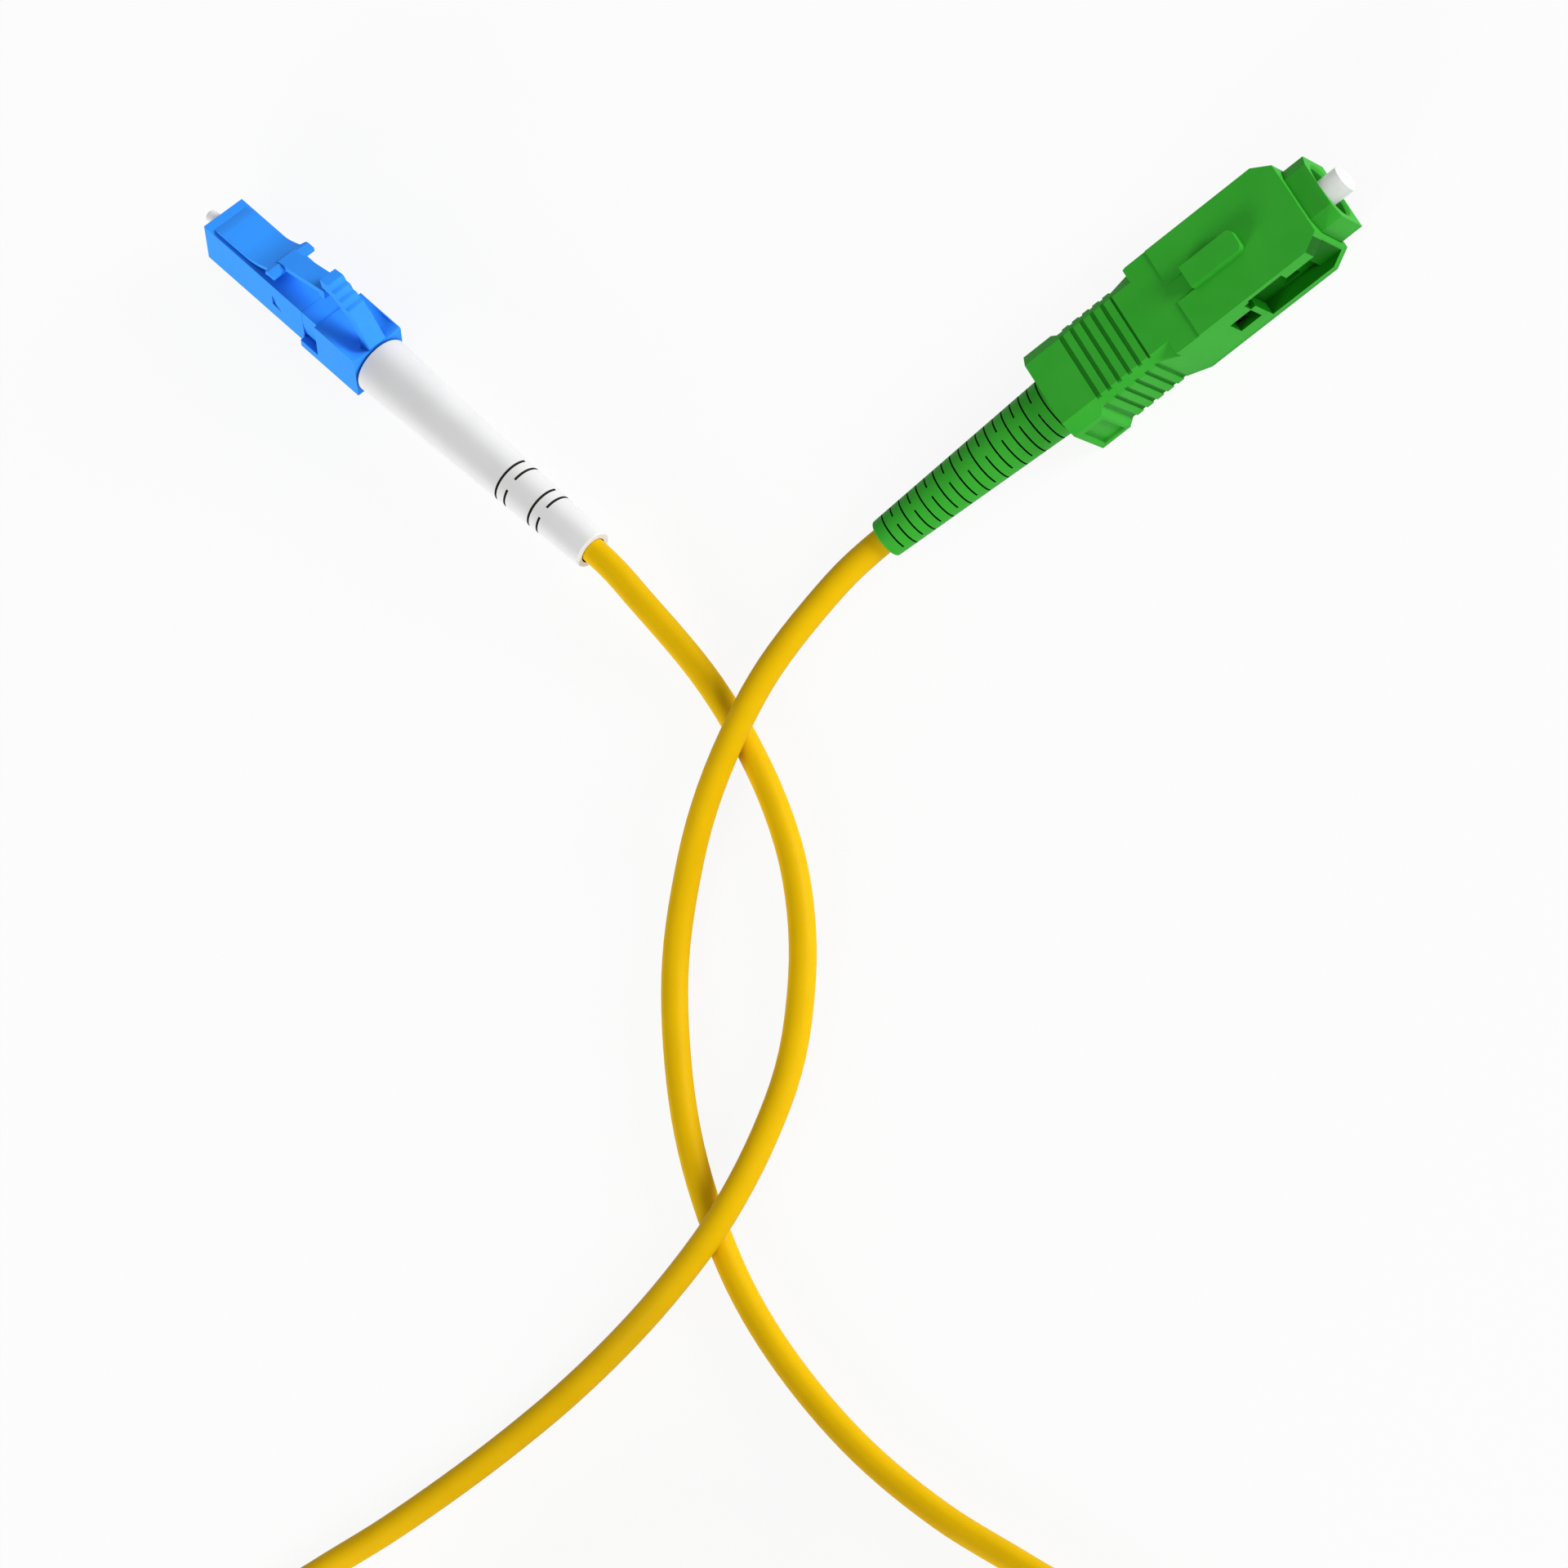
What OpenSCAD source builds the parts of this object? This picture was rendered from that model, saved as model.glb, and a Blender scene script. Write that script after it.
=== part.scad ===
// Simplex fibre optic patch cord: a small-form-factor plug (LC, flat polish) on one end, a push-pull
// plug (SC, angled polish) on the other, and one round jacketed cord between them.
// Millimetres. The cord lies on z = 0, +Z is up, and the origin is under the middle of the two plugs.
// Each plug is drawn along its own X axis: x = 0 is the front of its housing, +x runs to the cord,
// +z is the side that carries the latch or the key.

/* [Cord] */
// Whole length of the cord, ferrule tip to ferrule tip
cord_length = 2000; // [1700:50:2500]
// Outside diameter of the jacket
jacket_d = 2.4; // [2:0.1:2.8]
// Outside diameter of the buffered fibre
buffer_d = 0.9; // [0.7:0.05:1]

/* [Coil] */
// Distance between turns that lie side by side
coil_pitch = 3.2; // [3.2:0.1:3.8]
// Height from one layer of turns to the next
coil_layer = 2.9; // [2.9:0.1:3.4]
// Width of each tie round the coil
tie_w = 5; // [3:0.5:8]
// Thickness of the tie's strap
tie_t = 0.5; // [0.3:0.1:0.8]

/* [LC plug] */
// Width and height of the nose that enters the adapter
lc_body_w = 4.5; // [4.4:0.02:4.54]
// Length of the nose, front face to seam
lc_nose_l = 13.4; // [12:0.1:14]
// Length of the rear body behind the seam
lc_rear_l = 7.8; // [7.5:0.1:9.5]
// Width of the rear body
lc_rear_w = 5.5; // [5.3:0.1:6]
// Diameter of the ferrule
lc_ferrule_d = 1.249; // [1.2485:0.0005:1.2495]
// Length of the ferrule
lc_ferrule_l = 6.5; // [6:0.1:7]
// How far the ferrule stands out of the nose
lc_ferrule_out = 2.1; // [1.5:0.1:2.2]
// Width of the latch arm at its root
latch_w = 3.8; // [3.4:0.1:4.2]
// Width across the latch's two locking lugs
latch_lug_w = 4.8; // [4.6:0.1:5.2]
// Width of the trigger
trigger_w = 1.8; // [1.6:0.1:2.4]
// Length of the boot
lc_boot_l = 28.1; // [24:0.1:36]
// Diameter of the boot where it meets the plug
lc_boot_d = 5.5; // [5:0.1:6]
// Diameter of the boot's small end
lc_boot_tip_d = 3.7; // [3.6:0.1:4.6]

/* [SC plug] */
// Width of the grip housing
sc_grip_w = 9; // [8.8:0.05:9.1]
// Height of the grip housing without its key
sc_grip_h = 7.4; // [7.2:0.05:7.6]
// Length of the grip housing
sc_grip_l = 27; // [25:0.5:29]
// How far the grip slides back to release the plug
sc_grip_travel = 2; // [1:0.1:2]
// Width of the inner frame
sc_frame_w = 6.4; // [6:0.1:6.7]
// Height of the inner frame
sc_frame_h = 5.6; // [5.4:0.1:5.8]
// How far the inner frame stands out of the grip
sc_frame_out = 2.2; // [1.8:0.1:2.6]
// Diameter of the ferrule
sc_ferrule_d = 2.499; // [2.498:0.0005:2.4995]
// Length of the ferrule
sc_ferrule_l = 10.5; // [10:0.1:11.5]
// How far the ferrule stands out of the frame
sc_ferrule_out = 1.9; // [1.5:0.1:2.4]
// Angle of the polished end
sc_polish_angle = 8; // [0:1:9]
// Length of the boot that shows behind the grip
sc_boot_l = 19.5; // [15:0.5:28]
// Diameter of the boot where it leaves the grip
sc_boot_d = 5.4; // [5:0.1:5.6]
// Diameter of the boot's small end
sc_boot_tip_d = 3.6; // [3.5:0.1:4.6]

/* [Fits] */
// Gap at a joint that turns or slides
run_gap = 0.05; // [0.03:0.01:0.1]
// Gap between the grip and the frame it slides on
grip_gap = 0.08; // [0.05:0.01:0.12]
// Gap between pieces pressed or snapped together
seat_gap = 0.02; // [0.01:0.01:0.04]

/* [Hidden] */
$fn = 48;
eps = 0.5;                       // how far a cut runs past the face it opens
cord_r = jacket_d / 2;
axis_gap = 0.1;                  // room round the jacket in a boot

// LC stations along the plug's axis
lc_cavity_d = 3.2;
lc_web_x = 2;                    // front of the wall that stops the ferrule's flange
lc_web_t = 0.8;
lc_flange_x = lc_web_x + lc_web_t + seat_gap;
lc_flange_l = 1.15;
lc_barrel_end = 8.5;
lc_crimp_x = lc_nose_l - 1.8;    // front face of the crimp body, where the spring seats
lc_tail_w = 3.9;
lc_tail_l = 3.8;
lc_rear_end = lc_nose_l + lc_rear_l;
lc_collar_l = 2.1;               // the part of the rear body as slim as the nose
lc_rear_top = lc_body_w / 2 + 0.45;
lc_window_z = [-1.4, 0.5];       // bottom and top of the snap windows
lc_boot_x = lc_rear_end + 0.2;
lc_boot_end = lc_boot_x + lc_boot_l;
lc_crimp_end = lc_boot_x + 5.4;
lc_jacket_x = lc_crimp_end + 0.5;
lc_ring_end = lc_jacket_x + 2.6;
lc_ring_d = 3.7;
lc_barrel_d = 2.5;               // crimp barrel
lc_slit_x = lc_boot_end - 10.35;
lc_slit_w = 0.25;
lc_slit_turn = 125;              // the rows are turned so that one bridge looks up and out
lc_float = 0.7;                  // how far the ferrule is pushed back when mated
latch_top = lc_body_w / 2 + 0.55; // level stretch at the latch's root
latch_pivot = [5.5, latch_top - 0.28]; // x and z of the latch's bending line
latch_knuckle = 0.28;
latch_lug_x = 10.1;              // rear face of the locking lugs
trigger_pivot = [lc_rear_end - 0.8, lc_body_w / 2 + 0.25];
trigger_knuckle = 0.4;

// SC stations
sc_front = -sc_frame_out;
sc_tip = sc_front - sc_ferrule_out;
sc_bore_d = 4.9;
sc_web_x = 2.4;
sc_web_t = 0.8;
sc_flange_x = sc_web_x + sc_web_t + seat_gap;
sc_flange_l = 1.7;
sc_barrel_end = 11;
sc_frame_end = 16;
sc_crimp_x = sc_frame_end - 2;
sc_shoulder = 1.1;               // width of the sloped top corners of the frame
sc_waist_x = 15.2;               // start of the ribbed waist
sc_tail_x = sc_grip_l - 3.6;     // end of the ribbed waist
sc_waist_w = sc_grip_w - 1.5;
sc_tail_w = sc_grip_w - 0.5;
sc_boot_x = 22.4;
sc_boot_end = sc_grip_l + sc_boot_l;
sc_crimp_end = sc_boot_x + 6.4;
sc_jacket_x = sc_crimp_end + 0.5;
sc_ring_end = sc_jacket_x + 2.6;
sc_ring_d = 4.2;
sc_barrel_d = 3.4;
sc_slit_w = 0.16;
sc_float = 1;
sc_lug_x = 12;                   // ears on the frame that limit the grip's slide
sc_lug_l = 1.6;

// Where the plugs lie
lc_pos = [-53.7, 14.5];
lc_heading = -37.4;
lc_roll = 35;                    // the plug lies on the edge of its rear body, latch uppermost
lc_z = lc_rear_w / 2 * sin(lc_roll) + lc_body_w / 2 * cos(lc_roll);
sc_pos = [51.5, 12.2];
sc_heading = 216;
sc_z = sc_grip_h / 2;

module lc_place()
    translate([lc_pos.x, lc_pos.y, lc_z]) rotate([0, 0, lc_heading]) rotate([-lc_roll, 0, 0]) children();
module sc_place()
    translate([sc_pos.x, sc_pos.y, sc_z]) rotate([0, 0, sc_heading]) children();

// The cord's route on the surface, chosen by eye. It starts where each boot ends.
floor_z = cord_r;
over_z = 3 * cord_r + 0.2;       // height where one strand lies on the other
lc_route = [
    [-10.2, -19.5, 2.8], [-4.2, -26, 1.6], [0.2, -32, floor_z], [3.6, -38, floor_z], [5.8, -44, floor_z],
    [6.8, -51, floor_z], [6.3, -59, 1.3], [4.6, -66, 2.4], [1.7, -73, over_z], [-3, -79, 3.3],
    [-8.9, -84.5, 1.7], [-15.2, -90, floor_z], [-22.3, -95.5, floor_z], [-30.3, -101, floor_z],
    [-37.4, -105.3, floor_z], [-44, -109.6, floor_z], [-49, -115.6, floor_z], [-51.6, -123, floor_z],
    [-51.6, -131, floor_z], [-49.2, -138.5, floor_z], [-44.7, -145.2, floor_z], [-38.3, -150.8, floor_z],
    [-30.5, -153.5, 1.4]];
sc_route = [
    [8.5, -20, 3.8], [3.6, -26, over_z], [0.3, -32, over_z], [-2.5, -38, 2.9], [-4.5, -44, 1.6],
    [-5.4, -51, floor_z], [-4.9, -58.5, floor_z], [-3.4, -66, floor_z], [-0.8, -73, floor_z],
    [3, -80, floor_z], [8.2, -86.5, floor_z], [14.7, -92.5, floor_z], [22.2, -97.5, floor_z],
    [29.9, -101.3, floor_z], [37, -104.9, floor_z], [43, -110, floor_z], [46.2, -117, floor_z],
    [46.6, -125, floor_z], [44.8, -133.2, floor_z], [41, -141, floor_z], [35, -148, floor_z],
    [27, -152.5, 1.3], [18.5, -154, 2.3], [10.5, -154, 4.6], [2.5, -154, 7.6], [-5, -154, 10]];
coil_foot = [-14, -154];         // where both strands touch the coil
coil_m = 3.375;                  // turns that each layer spirals in or out
coil_z = tie_t + 0.1 + cord_r;
coil_top_z = coil_z + 3 * coil_layer;

// A smooth curve through a list of points
function spline_at(a, b, c, d, t) =
    0.5 * (2 * b + (c - a) * t + (2 * a - 5 * b + 4 * c - d) * t * t + (3 * b - a - 3 * c + d) * t * t * t);
function lifted(p) = [p.x, p.y, max(p.z, floor_z)];
function smooth(p, step) = [
    for (i = [0 : len(p) - 2])
        let (b = p[i], c = p[i + 1], a = i > 0 ? p[i - 1] : 2 * b - c,
             d = i < len(p) - 2 ? p[i + 2] : 2 * c - b, n = max(1, round(norm(c - b) / step)))
        each [for (k = [0 : n - 1]) lifted(spline_at(a, b, c, d, k / n))],
    p[len(p) - 1]];
function path_length(p, i = 0) = i >= len(p) - 1 ? 0 : norm(p[i + 1] - p[i]) + path_length(p, i + 1);

function on_axis(pos, z, heading, x) = [pos.x + x * cos(heading), pos.y + x * sin(heading), z];
function lc_axis(x) = on_axis(lc_pos, lc_z, lc_heading, x);
function sc_axis(x) = on_axis(sc_pos, sc_z, sc_heading, x);
ring_step = 6;
coil_lead = jacket_d;            // straight length at each end of the coil
lc_bend = smooth(concat(
    [for (k = [0 : 3]) lc_axis(lc_jacket_x + (lc_boot_end + 1.5 - lc_jacket_x) * k / 3)], lc_route,
    [[coil_foot.x - 2 * coil_lead, coil_foot.y, coil_z]]), ring_step);
sc_bend = smooth(concat(
    [for (k = [0 : 2]) sc_axis(sc_jacket_x + (sc_boot_end + 1.5 - sc_jacket_x) * k / 2)], sc_route,
    [[coil_foot.x + 2 * coil_lead, coil_foot.y, coil_top_z]]), ring_step);
lc_run = concat(lc_bend, [[coil_foot.x - coil_lead, coil_foot.y, coil_z]]);
sc_run = concat(sc_bend, [[coil_foot.x + coil_lead, coil_foot.y, coil_top_z]]);

// The coil: four layers, spiralling in, out, in and out, with a climb in the half turn between them
coil_turns = 4 * coil_m + 1.5;
coil_l = cord_length - path_length(lc_run) - path_length(sc_run)
    - lc_jacket_x - lc_ferrule_out - sc_jacket_x + sc_tip - 2 * coil_lead;
coil_mid_r = (coil_l / (2 * PI) + coil_m * coil_pitch / 4) / coil_turns;
coil_out_r = coil_mid_r + coil_m * coil_pitch / 2;
coil_in_r = coil_mid_r - coil_m * coil_pitch / 2;
coil_pos = [coil_foot.x, coil_foot.y + coil_out_r];
function coil_phase(t) = let (q = floor(t / (coil_m + 0.5))) [q, t - q * (coil_m + 0.5)];
function coil_r(t) =
    let (f = coil_phase(t), way = min(f[1], coil_m) * coil_pitch)
    f[0] % 2 == 0 ? coil_out_r - way : coil_in_r + way;
function coil_h(t) = let (f = coil_phase(t)) coil_z + coil_layer * (f[0] + max(0, f[1] - coil_m) * 2);
rings_per_turn = 24;
coil_path = concat(
    [[coil_foot.x - coil_lead, coil_foot.y, coil_z]],
    [for (k = [0 : coil_turns * rings_per_turn])
        let (t = k / rings_per_turn, r = coil_r(t), a = 360 * t - 90)
        [coil_pos.x + r * cos(a), coil_pos.y + r * sin(a), coil_h(t)]],
    [[coil_foot.x + coil_lead, coil_foot.y, coil_top_z]]);
coil_gap = min([for (i = [0 : len(coil_path) - 1]) min([1000, for (j = [i + 12 : 1 : len(coil_path) - 1])
    norm(coil_path[i] - coil_path[j])])]) - jacket_d;
echo(str("coil: least gap to itself ", coil_gap, ", middle radius ", coil_mid_r, ", outer ", coil_out_r,
    ", length ", path_length(coil_path)));
echo(str("cord: runs ", path_length(lc_run), " and ", path_length(sc_run)));

// A tube swept along a path, closed by flat ends. ref fixes how its sides are turned.
function unit(v) = v / norm(v);
function heading_at(p, i) = unit(p[min(i + 1, len(p) - 1)] - p[max(i - 1, 0)]);
function tube_ring(p, i, r, sides, ref) =
    let (t = heading_at(p, i), a = unit(cross(t, ref)), b = cross(a, t))
    [for (k = [0 : sides - 1]) let (w = 360 * k / sides) p[i] + r * (cos(w) * a + sin(w) * b)];
module tube(p, d, sides, ref = [0, 0, 1]) {
    n = len(p);
    function at(i, k) = i * sides + k % sides;
    polyhedron(
        points = [for (i = [0 : n - 1]) each tube_ring(p, i, d / 2, sides, ref)],
        faces = concat(
            [for (i = [0 : n - 2], k = [0 : sides - 1]) [at(i, k), at(i, k + 1), at(i + 1, k + 1)]],
            [for (i = [0 : n - 2], k = [0 : sides - 1]) [at(i, k), at(i + 1, k + 1), at(i + 1, k)]],
            [for (k = [1 : sides - 2]) [0, k + 1, k]],
            [for (k = [1 : sides - 2]) [at(n - 1, 0), at(n - 1, k), at(n - 1, k + 1)]]),
        convexity = 12);
}

// Drawing helpers in a plug's own frame
function round_box(x0, x1, y0, y1, r) = [
    for (c = [[x1 - r, y1 - r, 0], [x0 + r, y1 - r, 90], [x0 + r, y0 + r, 180], [x1 - r, y0 + r, 270]],
        k = [0 : 5])
        [c.x + r * cos(c.z + 18 * k), c.y + r * sin(c.z + 18 * k)]];
module rod(x0, x1, d) translate([x0, 0, 0]) rotate([0, 90, 0]) cylinder(h = x1 - x0, d = d);
module taper(x0, x1, d0, d1) translate([x0, 0, 0]) rotate([0, 90, 0]) cylinder(h = x1 - x0, d1 = d0,
    d2 = d1);
module block(x0, x1, y, z0, z1) translate([x0, -y, z0]) cube([x1 - x0, 2 * y, z1 - z0]);
module from_side(w) rotate([90, 0, 0]) linear_extrude(w, center = true) children();
module from_front(x0, x1) translate([x0, 0, 0]) rotate([90, 0, 90]) linear_extrude(x1 - x0) children();
module knuckle(p, r, w) translate([p.x, 0, p.y]) rotate([90, 0, 0]) cylinder(h = w, r = r, center = true);
module both_sides() { children(); mirror([0, 1, 0]) children(); }
module slit(x, w, middle, sweep)
    translate([x, 0, 0]) rotate([0, 90, 0]) rotate([0, 0, middle + 90 - sweep / 2])
        rotate_extrude(angle = sweep) translate([cord_r - 0.3, -w / 2]) square([3, w]);

// A flexible boot: a tapered sleeve, roomy over the crimp ring and close round the jacket
module boot(x0, x1, x2, d0, d1, room_d, room_x) {
    difference() {
        union() {
            if (x1 > x0) rod(x0, x1 + 0.01, d0);
            taper(x1, x2, d0, d1);
        }
        rod(x0 - eps, room_x, room_d);
        rod(x0 - eps, x2 + eps, jacket_d + 2 * axis_gap);
        children();
    }
}

// Ferrule: the free end is truly round, and the end pressed in its flange bites on twelve flats
module ferrule(tip, step_x, len, d) {
    chamfer = 0.06 * d + 0.08;
    difference() {
        union() {
            taper(tip, tip + chamfer, d - 2 * chamfer, d);
            rod(tip + chamfer, step_x, d);
            rod(tip + chamfer, tip + len, d - seat_gap, $fn = 12);
        }
        children();
    }
}

module helix(x0, x1, r, wire, turns) {
    lead = 0.6;
    steps = turns * 10;
    body = [for (k = [0 : steps])
        let (f = k / steps, a = 360 * turns * f) [x0 + wire + (x1 - x0 - 2 * wire) * f, r * cos(a),
            r * sin(a)]];
    first = body[0];
    last = body[len(body) - 1];
    tube(concat([first - [0, 0, lead]], body, [last + [0, 0, lead]]), wire, 6, [1, 0, 0]);
}

// A crimp barrel with its yarn and its ring
module crimp_body(x0, neck_x, x1, collar_d, neck_d, barrel_x, barrel_d) {
    difference() {
        union() {
            rod(x0, neck_x, collar_d);
            rod(neck_x, barrel_x, neck_d);
            rod(barrel_x, x1, barrel_d - 0.16);
            for (x = [barrel_x : 0.8 : x1 - 0.4]) rod(x, x + 0.4, barrel_d);
        }
        rod(x0 - eps, x1 + eps, buffer_d + 0.4);
    }
}
module yarn(x0, x1, barrel_d) {
    difference() {
        rod(x0, x1, barrel_d + 0.24);
        rod(x0 - eps, x1 + eps, barrel_d + seat_gap);
    }
}
module crimp_ring(x0, x1, x2, d, barrel_d) {
    difference() {
        union() {
            rod(x0, x1, d);
            taper(x1, x1 + 0.6, d, jacket_d + 0.9);
            rod(x1 + 0.6, x2, jacket_d + 0.9);
        }
        rod(x0 - eps, x1, barrel_d + 0.24 + seat_gap);
        rod(x0 - eps, x2 + eps, jacket_d + seat_gap);
    }
}

// LC plug
module lc_ferrule() {
    color("whitesmoke") lc_place()
        ferrule(-lc_ferrule_out, lc_web_x - 0.05, lc_ferrule_l, lc_ferrule_d);
}
module lc_ferrule_flange() {
    color("goldenrod") lc_place() difference() {
        union() {
            translate([lc_flange_x, 0, 0]) rotate([0, 90, 0]) cylinder(h = lc_flange_l, d = 2.8, $fn = 6);
            rod(lc_flange_x, lc_barrel_end, 1.7);
        }
        rod(lc_flange_x - eps, lc_ferrule_l - lc_ferrule_out + seat_gap, lc_ferrule_d);
        rod(lc_flange_x, lc_barrel_end + eps, buffer_d + seat_gap);
    }
}
module lc_buffered_fibre() {
    color("white") lc_place()
        rod(lc_ferrule_l - lc_ferrule_out + 2 * seat_gap, lc_jacket_x - lc_float - 0.1, buffer_d);
}
module lc_spring() {
    color("silver") lc_place() helix(lc_flange_x + lc_flange_l + 0.03, lc_crimp_x - 0.03, 1.15, 0.3, 8);
}
module lc_plug_body() {
    h = lc_body_w / 2;
    tail = lc_tail_w / 2;
    color("dodgerblue") lc_place() difference() {
        union() {
            block(0, lc_nose_l, h, -h, h);
            block(lc_nose_l - 1, lc_nose_l + lc_tail_l, tail, -tail, tail);
            // sloped snap tabs that catch in the rear body's windows
            both_sides() from_front(lc_nose_l - 0.5, lc_nose_l + lc_collar_l - 0.5)
                polygon([[tail - 0.3, lc_window_z[0] + 0.12], [tail, lc_window_z[0] + 0.12],
                    [h - 0.05, lc_window_z[1] - 0.3], [h - 0.05, lc_window_z[1] - 0.1],
                    [tail - 0.3, lc_window_z[1] - 0.1]]);
            // root of the latch
            from_side(latch_w)
                polygon([[1, h], [1.9, latch_top - 0.05], [2.3, latch_top], [latch_pivot.x, latch_top],
                    [latch_pivot.x, h]]);
        }
        rod(-eps, lc_web_x, lc_cavity_d);
        rod(-eps, lc_nose_l, 1.9);
        rod(lc_web_x + lc_web_t, lc_nose_l + lc_tail_l + eps, lc_cavity_d);
        knuckle(latch_pivot, latch_knuckle + run_gap, latch_w + 1);
        // wedge-shaped moulding windows in the sides
        both_sides() translate([0, h, 0]) from_side(1.2)
            polygon([[9.15, 0.7], [9.1, -0.6], [10.35, -0.75], [9.55, -0.2], [9.45, 0.35]]);
    }
}
module lc_latch() {
    // the arm curves up to its two lugs, and a narrower tail runs on from it to end under the trigger
    lug_rise = 1.5;
    function rise(x) = latch_top + min(lug_rise, 0.08 * pow(max(0, x - 4.9), 2));
    xs = [for (x = [latch_pivot.x + 0.3 : 0.4 : latch_lug_x - 0.1]) x];
    arm_t = 0.5;
    tail_x = latch_lug_x - 1.5;
    tail_top = latch_top + 1.82;     // top of the tail just behind the lugs
    hook_x = lc_nose_l + lc_collar_l;
    hook_top = tail_top + 0.27 * (hook_x - latch_lug_x - 0.2);
    color("dodgerblue") lc_place() {
        from_side(latch_w) polygon(concat(
            [[latch_pivot.x, rise(latch_pivot.x)]],
            [for (x = xs) [x, rise(x)]],
            [[latch_lug_x, rise(latch_lug_x)], [latch_lug_x, rise(latch_lug_x) - arm_t]],
            [for (k = [len(xs) - 1 : -1 : 0]) [xs[k], rise(xs[k]) - arm_t]]));
        // lugs, sloped in front so that they ride over the adapter's edge
        intersection() {
            linear_extrude(20) both_sides()
                polygon([[latch_lug_x - 1.4, 0], [latch_lug_x - 1.4, latch_w / 2],
                    [latch_lug_x - 1.25, latch_lug_w / 2], [latch_lug_x, latch_lug_w / 2],
                        [latch_lug_x, 0]]);
            from_side(latch_lug_w + 1)
                polygon([[latch_lug_x - 1.4, rise(latch_lug_x - 1.4)],
                    [latch_lug_x - 0.9, rise(latch_lug_x - 0.9)],
                    [latch_lug_x, rise(latch_lug_x)], [latch_lug_x, rise(latch_lug_x) - 0.6],
                    [latch_lug_x - 0.9, rise(latch_lug_x - 0.9) - 0.55],
                    [latch_lug_x - 1.4, rise(latch_lug_x - 1.4) - 0.45]]);
        }
        from_side(2)
            polygon([[tail_x, rise(tail_x)], [latch_lug_x + 0.2, tail_top], [hook_x, hook_top],
                [hook_x, hook_top - 1.15], [latch_lug_x, tail_top - 0.8], [tail_x, rise(tail_x) - arm_t]]);
        knuckle(latch_pivot, latch_knuckle, latch_w);
    }
}
module lc_rear_body() {
    h = lc_body_w / 2;
    w = lc_rear_w / 2;
    x0 = lc_nose_l + 0.03;
    step_x = lc_nose_l + lc_collar_l;
    scoop_d = 14;
    scoop_l = lc_rear_l - lc_collar_l - 1.8;
    socket = lc_tail_w / 2 + seat_gap;
    color("dodgerblue") lc_place() difference() {
        union() {
            block(x0, step_x + 0.5, h, -h, h);
            // rails below the snap windows
            block(x0, step_x + 0.5, w, -h, lc_window_z[0]);
            // wider rear half, raised on the latch side
            intersection() {
                from_side(lc_rear_w) polygon([[step_x, -h], [lc_rear_end, -h],
                    [lc_rear_end, lc_rear_top - 0.15],
                    [lc_rear_end - 0.15, lc_rear_top], [step_x + 0.3, lc_rear_top], [step_x, h]]);
                linear_extrude(20, center = true) polygon([[step_x, -h], [step_x + 0.3, -w],
                    [lc_rear_end, -w],
                    [lc_rear_end, w], [step_x + 0.3, w], [step_x, h]]);
            }
        }
        // scoop under the trigger, deeper towards the cord, that ends in a slope
        translate([step_x, 0, lc_rear_top - 0.5 + scoop_d / 2]) rotate([0, 4, 0]) {
            rod(-1, scoop_l, scoop_d);
            taper(scoop_l, scoop_l + 1, scoop_d, scoop_d - 1.9);
        }
        // socket of the front body's tail, and the bore of the crimp body
        block(x0 - eps, lc_nose_l + lc_tail_l + seat_gap, socket, -socket, socket);
        rod(lc_nose_l, lc_rear_end + eps, 3.34);
        // snap windows, open towards the seam
        both_sides() translate([x0 - eps, socket - 0.2, lc_window_z[0]])
            cube([lc_collar_l - 0.45 + eps, 2, lc_window_z[1] - lc_window_z[0]]);
        // groove that holds the trigger's foot
        knuckle(trigger_pivot, trigger_knuckle + run_gap, trigger_w + 2 * run_gap);
        block(trigger_pivot.x - trigger_knuckle - 0.2, lc_rear_end + eps, trigger_w / 2 + run_gap,
            trigger_pivot.y + 0.02, lc_rear_top + 1);
    }
}
module lc_trigger() {
    x0 = trigger_pivot.x;
    z0 = trigger_pivot.y;
    ribs = 4;                    // grip ribs on the back of the trigger
    rib_p = 0.87;
    color("dodgerblue") lc_place() {
        from_side(trigger_w) polygon(concat(
            [[x0 + 0.96, z0 + 0.57], [x0 - 0.85, z0 + 2.85]],
            [for (k = [ribs - 1 : -1 : 0]) each [
                [x0 - 3.9 + k * rib_p, z0 + 4.5 - k * 0.5], [x0 - 4.25 + k * rib_p, z0 + 4.9 - k * 0.44]]],
            // the pad under the tip presses the latch's tail
            [[x0 - 5.4, z0 + 4.7], [x0 - 5.35, z0 + 4.2], [x0 - 5.2, z0 + 3.75], [x0 - 4.4, z0 + 3.65],
             [x0 - 3.8, z0 + 3.65], [x0 - 1.5, z0 + 2.3],
             [x0 - 0.45, z0 + 0.7], [x0 - 0.35, z0 + 0.3], [x0 + 0.35, z0 + 0.25], [x0 + 0.72, z0 + 0.35],
             [x0 + 0.96, z0 + 0.5]]));
        knuckle(trigger_pivot, trigger_knuckle, trigger_w);
    }
}
module lc_crimp_body() {
    color("lightsteelblue") lc_place()
        crimp_body(lc_crimp_x, lc_nose_l + lc_tail_l + 0.05, lc_crimp_end, lc_cavity_d - 2 * seat_gap, 3.3,
            lc_boot_x - 0.2, lc_barrel_d);
}
module lc_aramid_yarn() { color("gold") lc_place() yarn(lc_boot_x + 0.6, lc_crimp_end - 0.1, lc_barrel_d); }
module lc_crimp_ring() {
    color("silver") lc_place() crimp_ring(lc_boot_x + 0.4, lc_crimp_end + 0.2, lc_ring_end, lc_ring_d,
        lc_barrel_d);
}
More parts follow.
